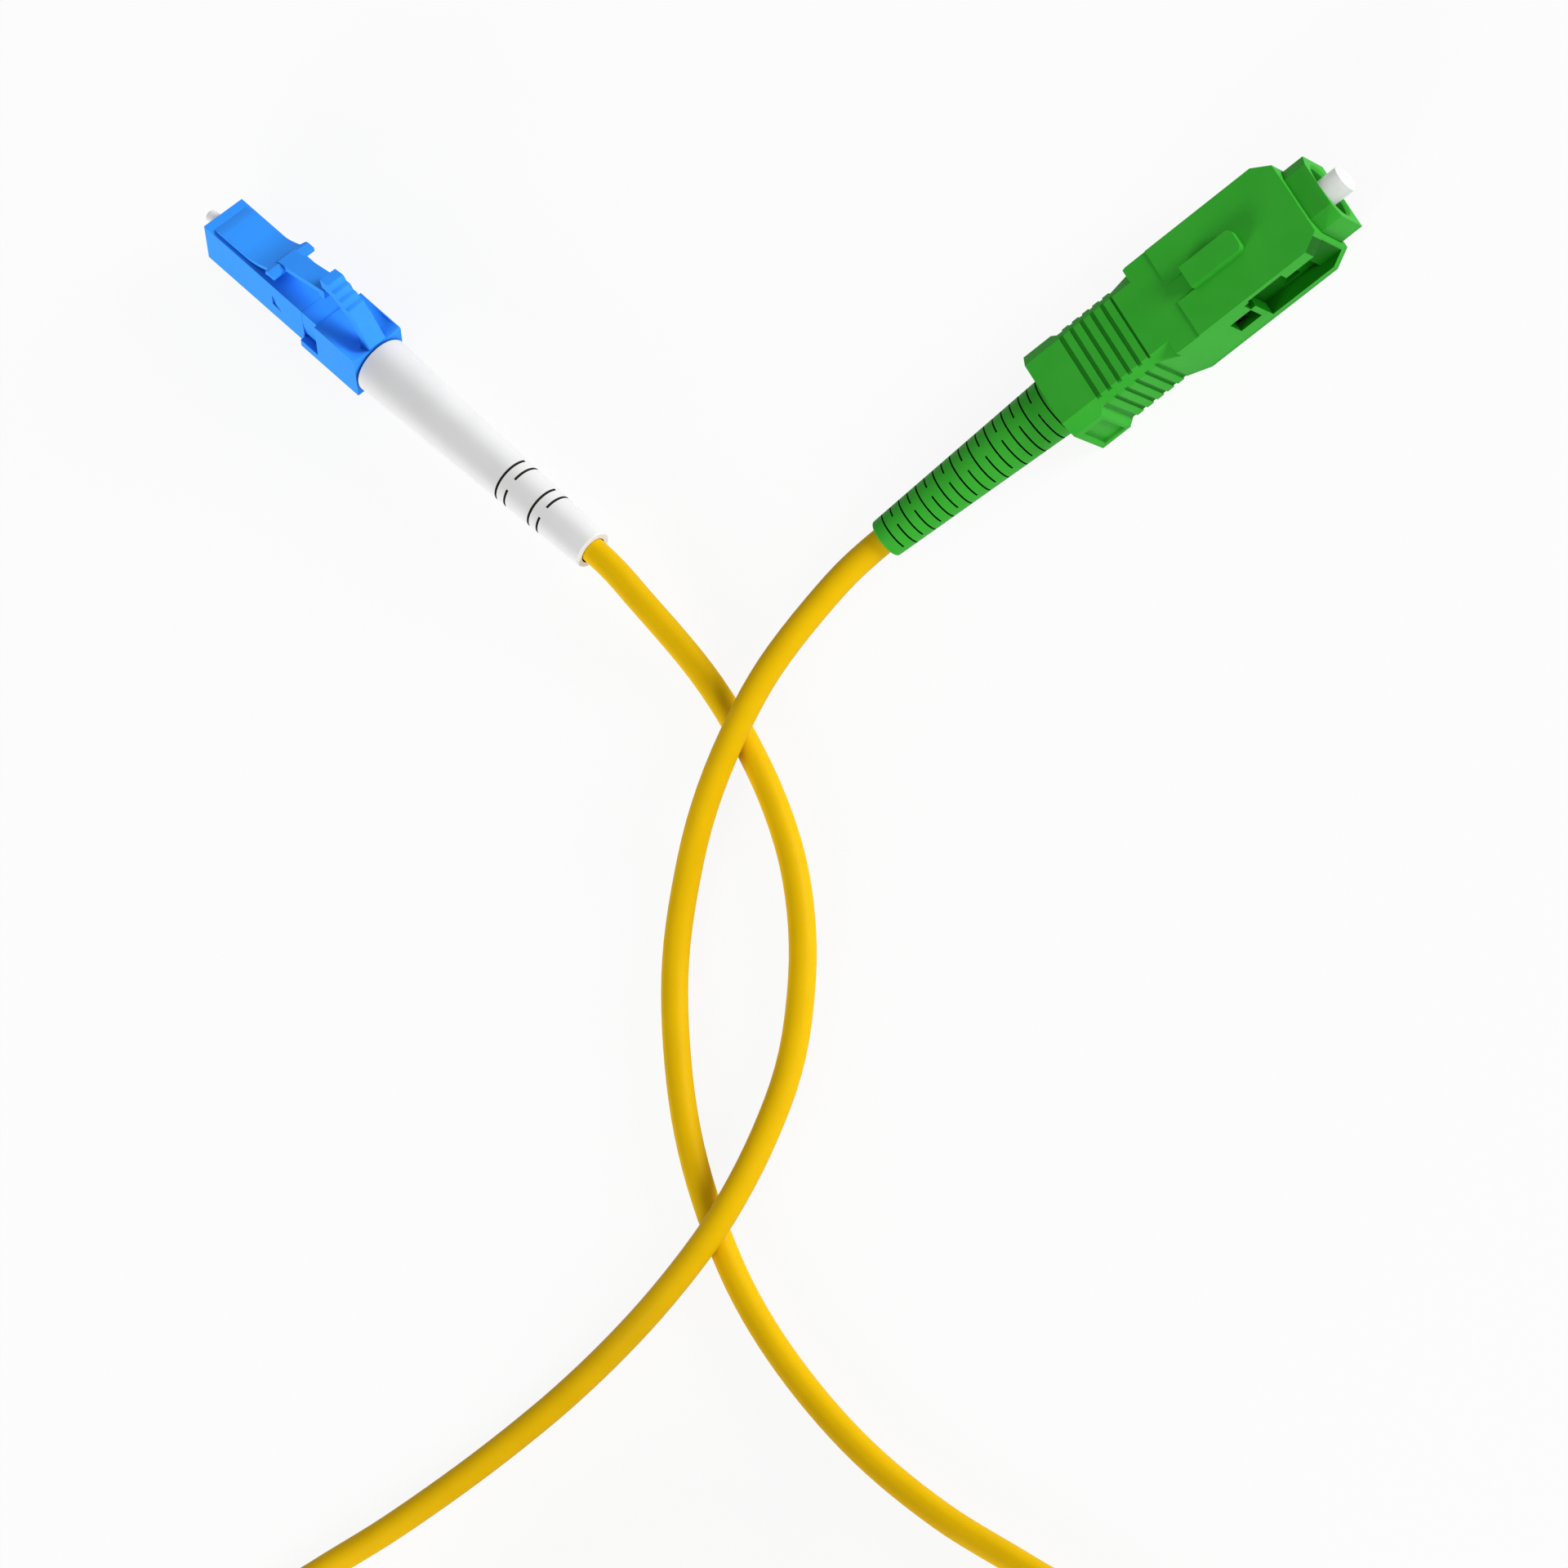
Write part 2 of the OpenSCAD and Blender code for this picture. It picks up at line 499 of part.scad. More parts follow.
module lc_boot() {
    color("gainsboro") lc_place()
        boot(lc_boot_x, lc_boot_x, lc_boot_end, lc_boot_d, lc_boot_tip_d, lc_ring_d + 0.1,
            lc_ring_end + 0.3) {
            // bending slits near the small end, each row turned a quarter turn from the one before
            for (group = [0, 1], row = [0, 1], side = [0, 180])
                slit(lc_slit_x + 4.1 * group + 1.1 * row, lc_slit_w, lc_slit_turn + side + 90 * row, 150);
        }
}

// SC plug
module sc_frame_outline(g) {
    w = sc_frame_w / 2 + g;
    z = sc_frame_h / 2 + g;
    polygon([[-w, -z], [w, -z], [w, z - 1], [w - sc_shoulder, z], [sc_shoulder - w, z], [-w, z - 1]]);
}
module sc_ferrule() {
    color("whitesmoke") sc_place()
        ferrule(sc_tip, sc_web_x - 0.05, sc_ferrule_l, sc_ferrule_d)
            // the angled polish
            translate([sc_tip, 0, 0]) rotate([0, -sc_polish_angle, 0]) translate([-5, -5, -5]) cube([5,
                10, 10]);
}
module sc_ferrule_flange() {
    color("silver") sc_place() difference() {
        union() {
            rod(sc_flange_x, sc_flange_x + sc_flange_l, 4.4);
            rod(sc_flange_x, sc_barrel_end, 3.2);
        }
        for (a = [0 : 90 : 270]) rotate([a, 0, 0]) block(sc_flange_x - eps, sc_flange_x + 1.1, 0.3,
            1.75, 3);
        rod(sc_flange_x - eps, sc_tip + sc_ferrule_l + seat_gap, sc_ferrule_d);
        rod(sc_flange_x, sc_barrel_end + eps, buffer_d + seat_gap);
    }
}
module sc_buffered_fibre() {
    color("white") sc_place()
        rod(sc_tip + sc_ferrule_l + 2 * seat_gap, sc_jacket_x - sc_float - 0.1, buffer_d);
}
module sc_spring() {
    color("silver") sc_place() helix(sc_flange_x + sc_flange_l + 0.03, sc_crimp_x - 0.03, 2, 0.45, 8);
}
module sc_plug_frame() {
    color("forestgreen") sc_place() difference() {
        union() {
            from_front(sc_front, sc_frame_end) sc_frame_outline(0);
            // ears that stop the grip at each end of its slide
            block(sc_lug_x, sc_lug_x + sc_lug_l, sc_frame_w / 2 + 0.5, -2.5, -1.2);
        }
        rod(sc_front - eps, sc_web_x, sc_bore_d);
        rod(sc_front, sc_frame_end, 3.4);
        rod(sc_web_x + sc_web_t, sc_frame_end + eps, sc_bore_d);
        // lead-in of the bore
        taper(sc_front - 0.01, sc_front + 0.3, sc_bore_d + 0.5, sc_bore_d);
        // latch pockets that the adapter's hooks drop into, with a ramp behind
        both_sides() translate([0, sc_frame_w / 2, -2.3]) linear_extrude(3.5)
            polygon([[4.2, 1], [4.2, -0.5], [5, -0.5], [5.9, 0], [5.9, 1]]);
        // snap windows of the crimp body
        both_sides() translate([sc_frame_end - 1.7, 2, -0.9]) cube([0.9, 2, 1.8]);
    }
}
module sc_grip_housing() {
    w = sc_grip_w / 2;
    h = sc_grip_h / 2;
    waist = sc_waist_w / 2;
    tail = sc_tail_w / 2;
    rib_pitch = (sc_tail_x - 17.9) / 5;
    low = 0.12;                  // how much lower the top is behind the key
    rib = 0.2;
    cavity_end = sc_frame_end + 1;
    color("limegreen") sc_place() difference() {
        union() {
            intersection() {
                linear_extrude(20, center = true) {
                    polygon([[0, 1 - w], [1.7, -w], [sc_waist_x, -w], [17.5, -waist], [sc_tail_x, -waist],
                        [sc_tail_x + 0.6, -tail], [sc_grip_l, -tail], [sc_grip_l, tail],
                            [sc_tail_x + 0.6, tail],
                        [sc_tail_x, waist], [17.5, waist], [sc_waist_x, w], [1.7, w], [0, w - 1]]);
                    for (k = [0 : 4])
                        translate([17.75 + k * rib_pitch, -waist - rib]) square([rib_pitch * 0.62,
                            2 * (waist + rib)]);
                }
                from_side(20) polygon([[0, -h], [17.5, -h], [17.5, rib - h], [sc_tail_x - 0.1, rib - h],
                    [sc_tail_x - 0.1, -h], [sc_grip_l, -h], [sc_grip_l, h - low],
                        [sc_tail_x - 0.1, h - low],
                    [sc_tail_x - 0.1, h - low - rib], [17.5, h - low - rib], [17.5, h - low], [13, h - low],
                    [13, h], [0, h]]);
            }
            for (k = [0 : 4], side = [-h, h - low - rib])
                translate([17.75 + k * rib_pitch, -waist, side]) cube([rib_pitch * 0.62, 2 * waist, rib]);
            // key with a rounded front
            translate([0, 0, h - eps]) linear_extrude(1 + eps) {
                translate([6.2, -1.05]) square([4.9, 2.1]);
                translate([5.7, -0.55]) square([1, 1.1]);
                for (y = [-0.55, 0.55]) translate([6.2, y]) circle(r = 0.5);
            }
        }
        // the lower strip runs forward to the key
        block(11.1, 14, 0.95, h - low, h + 0.3);
        // sloping corners of the waist
        both_sides() {
            from_front(sc_waist_x + 0.3, sc_grip_l + eps)
                polygon([[waist - 0.85, h + 0.1], [w + 0.5, h + 0.1], [w + 0.5, h + waist - w - 1.25]]);
            from_front(17.5, sc_tail_x - 0.05)
                polygon([[waist - 0.25, -h - 0.1], [waist + 0.5, -h - 0.1], [waist + 0.5, 0.65 - h]]);
        }
        // cavity for the frame, then the crimp body and the boot
        from_front(-eps, cavity_end) sc_frame_outline(grip_gap);
        rod(cavity_end - 0.1, sc_tail_x + 0.6, sc_frame_h + 2 * grip_gap);
        rod(sc_tail_x, sc_grip_l + eps, sc_boot_d + 0.3);
        both_sides() {
            // recess that the adapter's hooks run in, open at the nose and taller at its rear
            translate([-eps, w - 0.85, -2.8]) cube([4.6 + eps, 2, 4.6]);
            translate([2.6, sc_frame_w / 2 - eps, -2.8]) cube([2, 2, 4.6]);
            translate([4.6, sc_frame_w / 2 - eps, -2.8]) cube([3.6, 2, 5.8]);
            translate([8.1, sc_frame_w / 2 - eps, 1.15]) cube([0.6, 2, 1.5]);
            // its small window
            translate([8.75, sc_frame_w / 2 - eps, -1.4]) cube([2.2, 2, 2.5]);
            // slot of the frame's ears
            translate([sc_lug_x - sc_grip_travel - run_gap, 2, -2.5 - grip_gap])
                cube([sc_lug_l + sc_grip_travel + 2 * run_gap, sc_frame_w / 2 - 2 + 0.5 + grip_gap,
                    1.3 + 2 * grip_gap]);
            // shallow panels in the tail's sides
            translate([sc_tail_x + 0.9, tail - 0.3, -3.2]) cube([2.2, 1, 4.8]);
        }
    }
}
module sc_crimp_body() {
    color("silver") sc_place() {
        crimp_body(sc_crimp_x, sc_frame_end + 0.05, sc_crimp_end, sc_bore_d - 2 * seat_gap, 5,
            sc_boot_x - 0.2, sc_barrel_d);
        difference() {
            rod(sc_frame_end + 0.05, sc_frame_end + 1.6, 5.5);
            rod(sc_frame_end, sc_frame_end + 2, 4);
        }
    }
}
module sc_aramid_yarn() { color("gold") sc_place() yarn(sc_boot_x + 0.6, sc_crimp_end - 0.1, sc_barrel_d); }
module sc_crimp_ring() {
    color("silver") sc_place() crimp_ring(sc_boot_x + 0.2, sc_crimp_end + 0.2, sc_ring_end, sc_ring_d,
        sc_barrel_d);
}
module sc_boot() {
    pitch = 0.985;
    rows = floor((sc_boot_l - 1.2) / pitch);
    color("green") sc_place()
        boot(sc_boot_x, sc_grip_l, sc_boot_end, sc_boot_d, sc_boot_tip_d, sc_ring_d + 0.1,
            sc_ring_end + 0.3) {
            // bending slits: each row is two arcs, turned a quarter turn from the row before
            for (row = [0 : rows], side = [0, 180])
                slit(sc_grip_l + 0.55 + row * pitch, sc_slit_w, 90 + side + 90 * (row % 2), 154);
        }
}

// Cord
module cord_lc_run() { color("gold") tube(lc_run, jacket_d, 8); }
module cord_sc_run() { color("gold") tube(sc_run, jacket_d, 8); }
module cord_coil() { color("gold") tube(coil_path, jacket_d, 6); }
module coil_ties() {
    // each tie is a strap in a closed loop round all the turns
    room = 0.3;
    x0 = sqrt(pow(coil_in_r - cord_r, 2) - tie_w * tie_w / 4) - room;
    x1 = coil_out_r + cord_r + room;
    z1 = coil_top_z + cord_r + room;
    color("dimgray") for (side = [0, 180])
        translate([coil_pos.x, coil_pos.y, 0]) rotate([0, 0, side]) rotate([90, 0, 0])
            linear_extrude(tie_w, center = true) difference() {
                polygon(round_box(x0 - tie_t, x1 + tie_t, 0, z1 + tie_t, 1 + tie_t));
                polygon(round_box(x0, x1, tie_t, z1, 1));
            }
}

lc_ferrule();
lc_ferrule_flange();
lc_buffered_fibre();
lc_spring();
lc_plug_body();
lc_latch();
lc_rear_body();
lc_trigger();
lc_crimp_body();
lc_aramid_yarn();
lc_crimp_ring();
lc_boot();
sc_ferrule();
sc_ferrule_flange();
sc_buffered_fibre();
sc_spring();
sc_plug_frame();
sc_grip_housing();
sc_crimp_body();
sc_aramid_yarn();
sc_crimp_ring();
sc_boot();
cord_lc_run();
cord_coil();
cord_sc_run();
coil_ties();
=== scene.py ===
import math

import bmesh
import bpy
from mathutils import Euler, Matrix, Vector


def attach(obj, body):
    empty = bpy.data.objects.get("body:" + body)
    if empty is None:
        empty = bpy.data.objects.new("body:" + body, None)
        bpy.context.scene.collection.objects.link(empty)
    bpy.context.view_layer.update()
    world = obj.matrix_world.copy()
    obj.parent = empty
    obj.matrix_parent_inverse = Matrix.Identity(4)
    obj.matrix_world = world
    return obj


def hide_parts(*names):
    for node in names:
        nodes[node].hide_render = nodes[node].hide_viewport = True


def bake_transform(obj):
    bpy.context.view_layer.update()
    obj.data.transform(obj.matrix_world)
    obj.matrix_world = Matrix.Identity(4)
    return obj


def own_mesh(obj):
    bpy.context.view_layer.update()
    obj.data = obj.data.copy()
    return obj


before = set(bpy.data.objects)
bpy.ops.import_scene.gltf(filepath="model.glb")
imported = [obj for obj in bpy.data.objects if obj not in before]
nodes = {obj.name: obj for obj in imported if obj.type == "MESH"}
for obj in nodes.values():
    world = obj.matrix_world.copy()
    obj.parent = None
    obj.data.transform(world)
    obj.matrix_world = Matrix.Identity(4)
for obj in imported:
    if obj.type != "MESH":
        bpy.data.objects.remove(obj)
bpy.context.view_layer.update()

mm = 0.001
weld = 0.000002  # metres within which the loose corners of a solid's mesh become one
print("frame loaded")

# Camera

cameraView = {
    "lens": 150.0,
    "sensor": 36.0,
    "place": (0.2521, -0.0921, 0.50174),
    "turn": (7.128, 26.033, 3.113),  # degrees about X, Y and Z
}


def makeCamera(settings):
    data = bpy.data.cameras.new("camera")
    data.lens = settings["lens"]
    data.sensor_width = settings["sensor"]
    data.sensor_fit = "HORIZONTAL"
    data.clip_start = 0.01
    data.clip_end = 20
    camera = bpy.data.objects.new("camera", data)
    camera.location = settings["place"]
    camera.rotation_euler = Euler([math.radians(a) for a in settings["turn"]])
    bpy.context.scene.collection.objects.link(camera)
    bpy.context.scene.camera = camera


makeCamera(cameraView)
print("camera placed")

# Materials. Sizes in them are in metres on Object coordinates, so the grain stays on each piece.


def newMaterial(name):
    material = bpy.data.materials.new(name)
    material.use_nodes = True
    tree = material.node_tree
    shader = tree.nodes["Principled BSDF"]
    return material, tree, shader


def objectCoordinates(tree):
    return tree.nodes.new("ShaderNodeTexCoord").outputs["Object"]


def noiseOn(tree, vector, scale, detail, roughness=0.55):
    noise = tree.nodes.new("ShaderNodeTexNoise")
    noise.inputs["Scale"].default_value = scale
    noise.inputs["Detail"].default_value = detail
    noise.inputs["Roughness"].default_value = roughness
    tree.links.new(vector, noise.inputs["Vector"])
    return noise.outputs["Fac"]


def rangeOf(tree, value, low, high, fromLow=0.3, fromHigh=0.7):
    # noise seldom leaves its middle, so by default that is what gets stretched
    node = tree.nodes.new("ShaderNodeMapRange")
    node.inputs["From Min"].default_value = fromLow
    node.inputs["From Max"].default_value = fromHigh
    node.inputs["To Min"].default_value = low
    node.inputs["To Max"].default_value = high
    tree.links.new(value, node.inputs["Value"])
    return node.outputs["Result"]


def colourBetween(tree, factor, first, second):
    mix = tree.nodes.new("ShaderNodeMix")
    mix.data_type = "RGBA"
    mix.inputs["A"].default_value = (*first, 1)
    mix.inputs["B"].default_value = (*second, 1)
    tree.links.new(factor, mix.inputs["Factor"])
    return mix.outputs["Result"]


def bumpFrom(tree, height, distance):
    bump = tree.nodes.new("ShaderNodeBump")
    bump.inputs["Strength"].default_value = 1.0
    bump.inputs["Distance"].default_value = distance
    tree.links.new(height, bump.inputs["Height"])
    return bump.outputs["Normal"]


def paintedCornerShade(tree, colour, corner, settings):
    # painted shade: the moulded colour is darkened toward the corner colour where walls close in on it, in a corner or
    # a slot
    room = tree.nodes.new("ShaderNodeAmbientOcclusion")
    room.samples = 12
    room.inputs["Distance"].default_value = settings["cornerShadeReach"]
    openness = rangeOf(tree, room.outputs["AO"], 0, 1, settings["cornerShadeClosed"], settings["cornerShadeOpen"])
    mix = tree.nodes.new("ShaderNodeMix")
    mix.data_type = "RGBA"
    mix.inputs["A"].default_value = (*corner, 1)
    tree.links.new(colour, mix.inputs["B"])
    tree.links.new(openness, mix.inputs["Factor"])
    return mix.outputs["Result"]


def mouldedPlastic(name, deep, pale, settings, corner=None):
    material, tree, shader = newMaterial(name)
    place = objectCoordinates(tree)
    cloud = noiseOn(tree, place, settings["cloudScale"], 2)
    grain = noiseOn(tree, place, settings["grainScale"], 4)
    colour = colourBetween(tree, rangeOf(tree, cloud, 0, 1), deep, pale)
    # corners get painted shade where a corner colour is given
    if corner is not None:
        colour = paintedCornerShade(tree, colour, corner, settings)
    tree.links.new(colour, shader.inputs["Base Color"])
    rough = rangeOf(tree, grain, settings["roughLow"], settings["roughHigh"])
    tree.links.new(rough, shader.inputs["Roughness"])
    tree.links.new(bumpFrom(tree, grain, settings["grainDepth"]), shader.inputs["Normal"])
    shader.inputs["IOR"].default_value = settings["ior"]
    shader.inputs["Specular IOR Level"].default_value = settings["specular"]
    return material


def turnedMetal(name, colour, roughness):
    material, tree, shader = newMaterial(name)
    place = objectCoordinates(tree)
    lines = noiseOn(tree, place, 9000, 3)
    shader.inputs["Base Color"].default_value = (*colour, 1)
    shader.inputs["Metallic"].default_value = 1
    tree.links.new(rangeOf(tree, lines, roughness * 0.7, roughness * 1.4), shader.inputs["Roughness"])
    tree.links.new(bumpFrom(tree, lines, 0.000004), shader.inputs["Normal"])
    return material


def ceramic(name):
    material, tree, shader = newMaterial(name)
    place = objectCoordinates(tree)
    cloud = noiseOn(tree, place, 900, 2)
    colour = colourBetween(tree, rangeOf(tree, cloud, 0, 1), (0.72, 0.72, 0.71), (0.80, 0.80, 0.79))
    tree.links.new(colour, shader.inputs["Base Color"])
    tree.links.new(rangeOf(tree, cloud, 0.16, 0.26), shader.inputs["Roughness"])
    shader.inputs["IOR"].default_value = 1.75
    shader.inputs["Subsurface Weight"].default_value = 0.15
    shader.inputs["Subsurface Radius"].default_value = (0.0004, 0.0003, 0.0003)
    return material


def yarnFibre(name):
    material, tree, shader = newMaterial(name)
    place = objectCoordinates(tree)
    strand = noiseOn(tree, place, 12000, 5)
    colour = colourBetween(tree, rangeOf(tree, strand, 0, 1), (0.62, 0.42, 0.07), (0.9, 0.68, 0.22))
    tree.links.new(colour, shader.inputs["Base Color"])
    tree.links.new(bumpFrom(tree, strand, 0.00002), shader.inputs["Normal"])
    shader.inputs["Roughness"].default_value = 0.6
    shader.inputs["Sheen Weight"].default_value = 0.3
    return material


def strapCloth(name):
    material, tree, shader = newMaterial(name)
    place = objectCoordinates(tree)
    nap = noiseOn(tree, place, 6000, 6, 0.7)
    colour = colourBetween(tree, rangeOf(tree, nap, 0, 1), (0.012, 0.012, 0.014), (0.05, 0.05, 0.055))
    tree.links.new(colour, shader.inputs["Base Color"])
    tree.links.new(bumpFrom(tree, nap, 0.00012), shader.inputs["Normal"])
    shader.inputs["Roughness"].default_value = 0.95
    shader.inputs["Sheen Weight"].default_value = 0.4
    shader.inputs["Sheen Roughness"].default_value = 0.5
    return material


plasticGrain = {
    "cloudScale": 260,
    "grainScale": 5200,
    "grainDepth": 0.0000025,
    "roughLow": 0.48,
    "roughHigh": 0.6,
    "ior": 1.5,
    "specular": 0.07,
    # painted shade in corners: how far the occlusion reaches, and between which openness values it is painted
    "cornerShadeReach": 0.0022,
    "cornerShadeClosed": 0.1,  # how open a place is, from 0 to 1, where the painted corner shade is full
    "cornerShadeOpen": 0.66,  # and where it ends
}
rubberGrain = {**plasticGrain, "grainDepth": 0.000004, "roughLow": 0.5, "roughHigh": 0.62, "specular": 0.12}
jacketGrain = {**plasticGrain, "grainScale": 3800, "grainDepth": 0.000006, "roughLow": 0.42, "roughHigh": 0.55,
               "specular": 0.05}

# deep and pale colour of each moulding, its grain and, where it has one, the colour of the shade painted into its
# corners. The very dark green and the near-black rubber are painted shade for recess, slit and bore faces; the ribbed
# green is the green plastic with a paler painted corner shade
mouldings = {
    "bluePlastic": ((0.030, 0.285, 0.97), (0.036, 0.3, 1.0), plasticGrain, (0.0, 0.09, 0.4)),
    "greenPlastic": ((0.030, 0.35, 0.024), (0.036, 0.37, 0.028), plasticGrain, (0.006, 0.14, 0.004)),
    "greenPaintedShade": ((0.002, 0.11, 0.001), (0.003, 0.13, 0.002), plasticGrain, (0.0, 0.05, 0.0)),
    "greenRibbed": ((0.030, 0.35, 0.024), (0.036, 0.37, 0.028), plasticGrain, (0.016, 0.24, 0.012)),
    "greenRubber": ((0.027, 0.34, 0.019), (0.032, 0.36, 0.023), rubberGrain),
    "whiteRubber": ((0.71, 0.71, 0.715), (0.74, 0.74, 0.745), rubberGrain),
    "whitePaintedShade": ((0.03, 0.03, 0.022), (0.05, 0.048, 0.035), rubberGrain),
    "yellowJacket": ((0.70, 0.425, 0.0006), (0.74, 0.45, 0.0008), jacketGrain),
    "fibreBuffer": ((0.78, 0.78, 0.74), (0.84, 0.84, 0.8), jacketGrain),
}
materials = {
    **{name: mouldedPlastic(name, *facts) for name, facts in mouldings.items()},
    "zirconia": ceramic("zirconia"),
    "fibreCore": turnedMetal("fibreCore", (0.08, 0.08, 0.09), 0.1),
    "flangeMetal": turnedMetal("flangeMetal", (0.62, 0.52, 0.32), 0.3),
    "crimpMetal": turnedMetal("crimpMetal", (0.62, 0.62, 0.64), 0.28),
    "springSteel": turnedMetal("springSteel", (0.6, 0.6, 0.62), 0.22),
    "aramidYarn": yarnFibre("aramidYarn"),
    "strapCloth": strapCloth("strapCloth"),
}
print("materials made")

# Where the two plugs lie. Each has its own frame in millimetres: +X runs from its nose to the cord and
# +Z is the side with the latch or the key.

lcPlug = {"place": (-53.7, 14.5), "heading": -37.4, "roll": -35.0, "rearWidth": 5.5, "height": 4.5}
scPlug = {"place": (51.5, 12.2), "heading": 216.0, "roll": 0.0, "height": 7.4}


def plugMatrix(plug, rise):
    turn = Matrix.Rotation(math.radians(plug["heading"]), 4, "Z") @ Matrix.Rotation(math.radians(plug["roll"]), 4, "X")
    return Matrix.Scale(mm, 4) @ Matrix.Translation((*plug["place"], rise)) @ turn


lcRise = lcPlug["rearWidth"] / 2 * math.sin(math.radians(35)) + lcPlug["height"] / 2 * math.cos(math.radians(35))
lcMatrix = plugMatrix(lcPlug, lcRise)
scMatrix = plugMatrix(scPlug, scPlug["height"] / 2)


def inRow(matrix, x, y=0.0, z=0.0):
    return matrix @ Vector((x, y, z))


def alongAxis(matrix, direction):
    return (matrix.to_3x3() @ Vector(direction)).normalized()


def addPiece(name, mesh, material, body, replaced=()):
    piece = bpy.data.objects.new(name, mesh)
    bpy.context.scene.collection.objects.link(piece)
    if material is not None and not mesh.materials:
        mesh.materials.append(materials[material])
    if body is not None:
        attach(piece, body)
    if replaced:
        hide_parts(*replaced)
    return piece


def allOf(bm):
    return bm.verts[:] + bm.edges[:] + bm.faces[:]


def vertsIn(made):
    return [part for part in made["geom"] if isinstance(part, bmesh.types.BMVert)]


def roundEdges(bm, edges, radius, segments=2, loopSlide=False):
    bmesh.ops.bevel(bm, geom=edges, offset=radius, offset_type="OFFSET", segments=segments, profile=0.5,
                    affect="EDGES", material=-1, clamp_overlap=True, loop_slide=loopSlide)


def reportShape(name, bm):
    print(name, len(bm.faces), "faces, open edges", sum(not e.is_manifold for e in bm.edges))


def evenNormals(piece):
    # keeps flat faces flat beside their rounded edges
    even = piece.modifiers.new("evenNormals", "WEIGHTED_NORMAL")
    even.keep_sharp = True
    return piece


def meshFrom(bm, name, smoothBelow=35.0):
    # normals go smooth except over edges sharper than smoothBelow degrees
    for face in bm.faces:
        face.smooth = True
    for edge in bm.edges:
        if edge.is_manifold and edge.calc_face_angle(0) > math.radians(smoothBelow):
            edge.smooth = False
    mesh = bpy.data.meshes.new(name)
    bm.to_mesh(mesh)
    bm.free()
    return mesh


# Cord

cordFacts = {
    "length": 2.0,  # ferrule tip to ferrule tip
    "diameter": 0.0024,
    "lcJacketStart": 27.3,
    "lcBootEnd": 49.5,
    "scJacketStart": 29.3,
    "scBootEnd": 46.5,
    "lcFerruleTip": -2.1,
    "scFerruleTip": -4.1,
    "coilTurnsPerLayer": 3.375,
    "coilPitch": 0.0032,
    "coilLayer": 0.0029,
    "coilFoot": (-0.014, -0.154),
    "coilBase": 0.0018,
    "pointsPerTurn": 48,
    "step": 0.0015,
}
floorHeight = cordFacts["diameter"] / 2
overHeight = 3 * floorHeight + 0.0002
lcRoute = [
    (-0.0102, -0.0195, 0.0028), (-0.0042, -0.026, 0.0016), (0.0002, -0.032, floorHeight),
    (0.0036, -0.038, floorHeight), (0.0058, -0.044, floorHeight), (0.0068, -0.051, floorHeight),
    (0.0063, -0.059, 0.0013), (0.0046, -0.066, 0.0024), (0.0017, -0.073, overHeight), (-0.003, -0.079, 0.0033),
    (-0.0089, -0.0845, 0.0017), (-0.0152, -0.090, floorHeight), (-0.0223, -0.0955, floorHeight),
    (-0.0303, -0.101, floorHeight), (-0.0374, -0.1053, floorHeight), (-0.044, -0.1096, floorHeight),
    (-0.049, -0.1156, floorHeight), (-0.0516, -0.123, floorHeight), (-0.0516, -0.131, floorHeight),
    (-0.0492, -0.1385, floorHeight), (-0.0447, -0.1452, floorHeight), (-0.0383, -0.1508, floorHeight),
    (-0.0305, -0.1535, 0.0014)]
scRoute = [
    (0.0085, -0.020, 0.0038), (0.0036, -0.026, overHeight), (0.0003, -0.032, overHeight), (-0.0025, -0.038, 0.0029),
    (-0.0045, -0.044, 0.0016), (-0.0054, -0.051, floorHeight), (-0.0049, -0.0585, floorHeight),
    (-0.0034, -0.066, floorHeight), (-0.0008, -0.073, floorHeight), (0.003, -0.080, floorHeight),
    (0.0082, -0.0865, floorHeight), (0.0147, -0.0925, floorHeight), (0.0222, -0.0975, floorHeight),
    (0.0299, -0.1013, floorHeight), (0.037, -0.1049, floorHeight), (0.043, -0.110, floorHeight),
    (0.0462, -0.117, floorHeight), (0.0466, -0.125, floorHeight), (0.0448, -0.1332, floorHeight),
    (0.041, -0.141, floorHeight), (0.035, -0.148, floorHeight), (0.027, -0.1525, 0.0013), (0.0185, -0.154, 0.0023),
    (0.0105, -0.154, 0.0046), (0.0025, -0.154, 0.0076), (-0.005, -0.154, 0.010)]


def smoothRoute(points, step):
    # a smooth curve through the points, the same one that the solids follow
    points = [Vector(p) for p in points]
    out = []
    for i in range(len(points) - 1):
        b, c = points[i], points[i + 1]
        a = points[i - 1] if i > 0 else 2 * b - c
        d = points[i + 2] if i < len(points) - 2 else 2 * c - b
        count = max(1, round((c - b).length / step))
        for k in range(count):
            t = k / count
            p = 0.5 * (2 * b + (c - a) * t + (2 * a - 5 * b + 4 * c - d) * t**2 + (3 * b - a - 3 * c + d) * t**3)
            p.z = max(p.z, floorHeight)
            out.append(p)
    out.append(points[-1])
    return out


def pathLength(path):
    return sum((b - a).length for a, b in zip(path, path[1:]))


def strandPath(matrix, jacketStart, bootEnd, steps, route, end):
    last = bootEnd + 1.5
    straight = [inRow(matrix, jacketStart + (last - jacketStart) * k / steps) for k in range(steps + 1)]
    return smoothRoute([*straight, *route, end], cordFacts["step"])


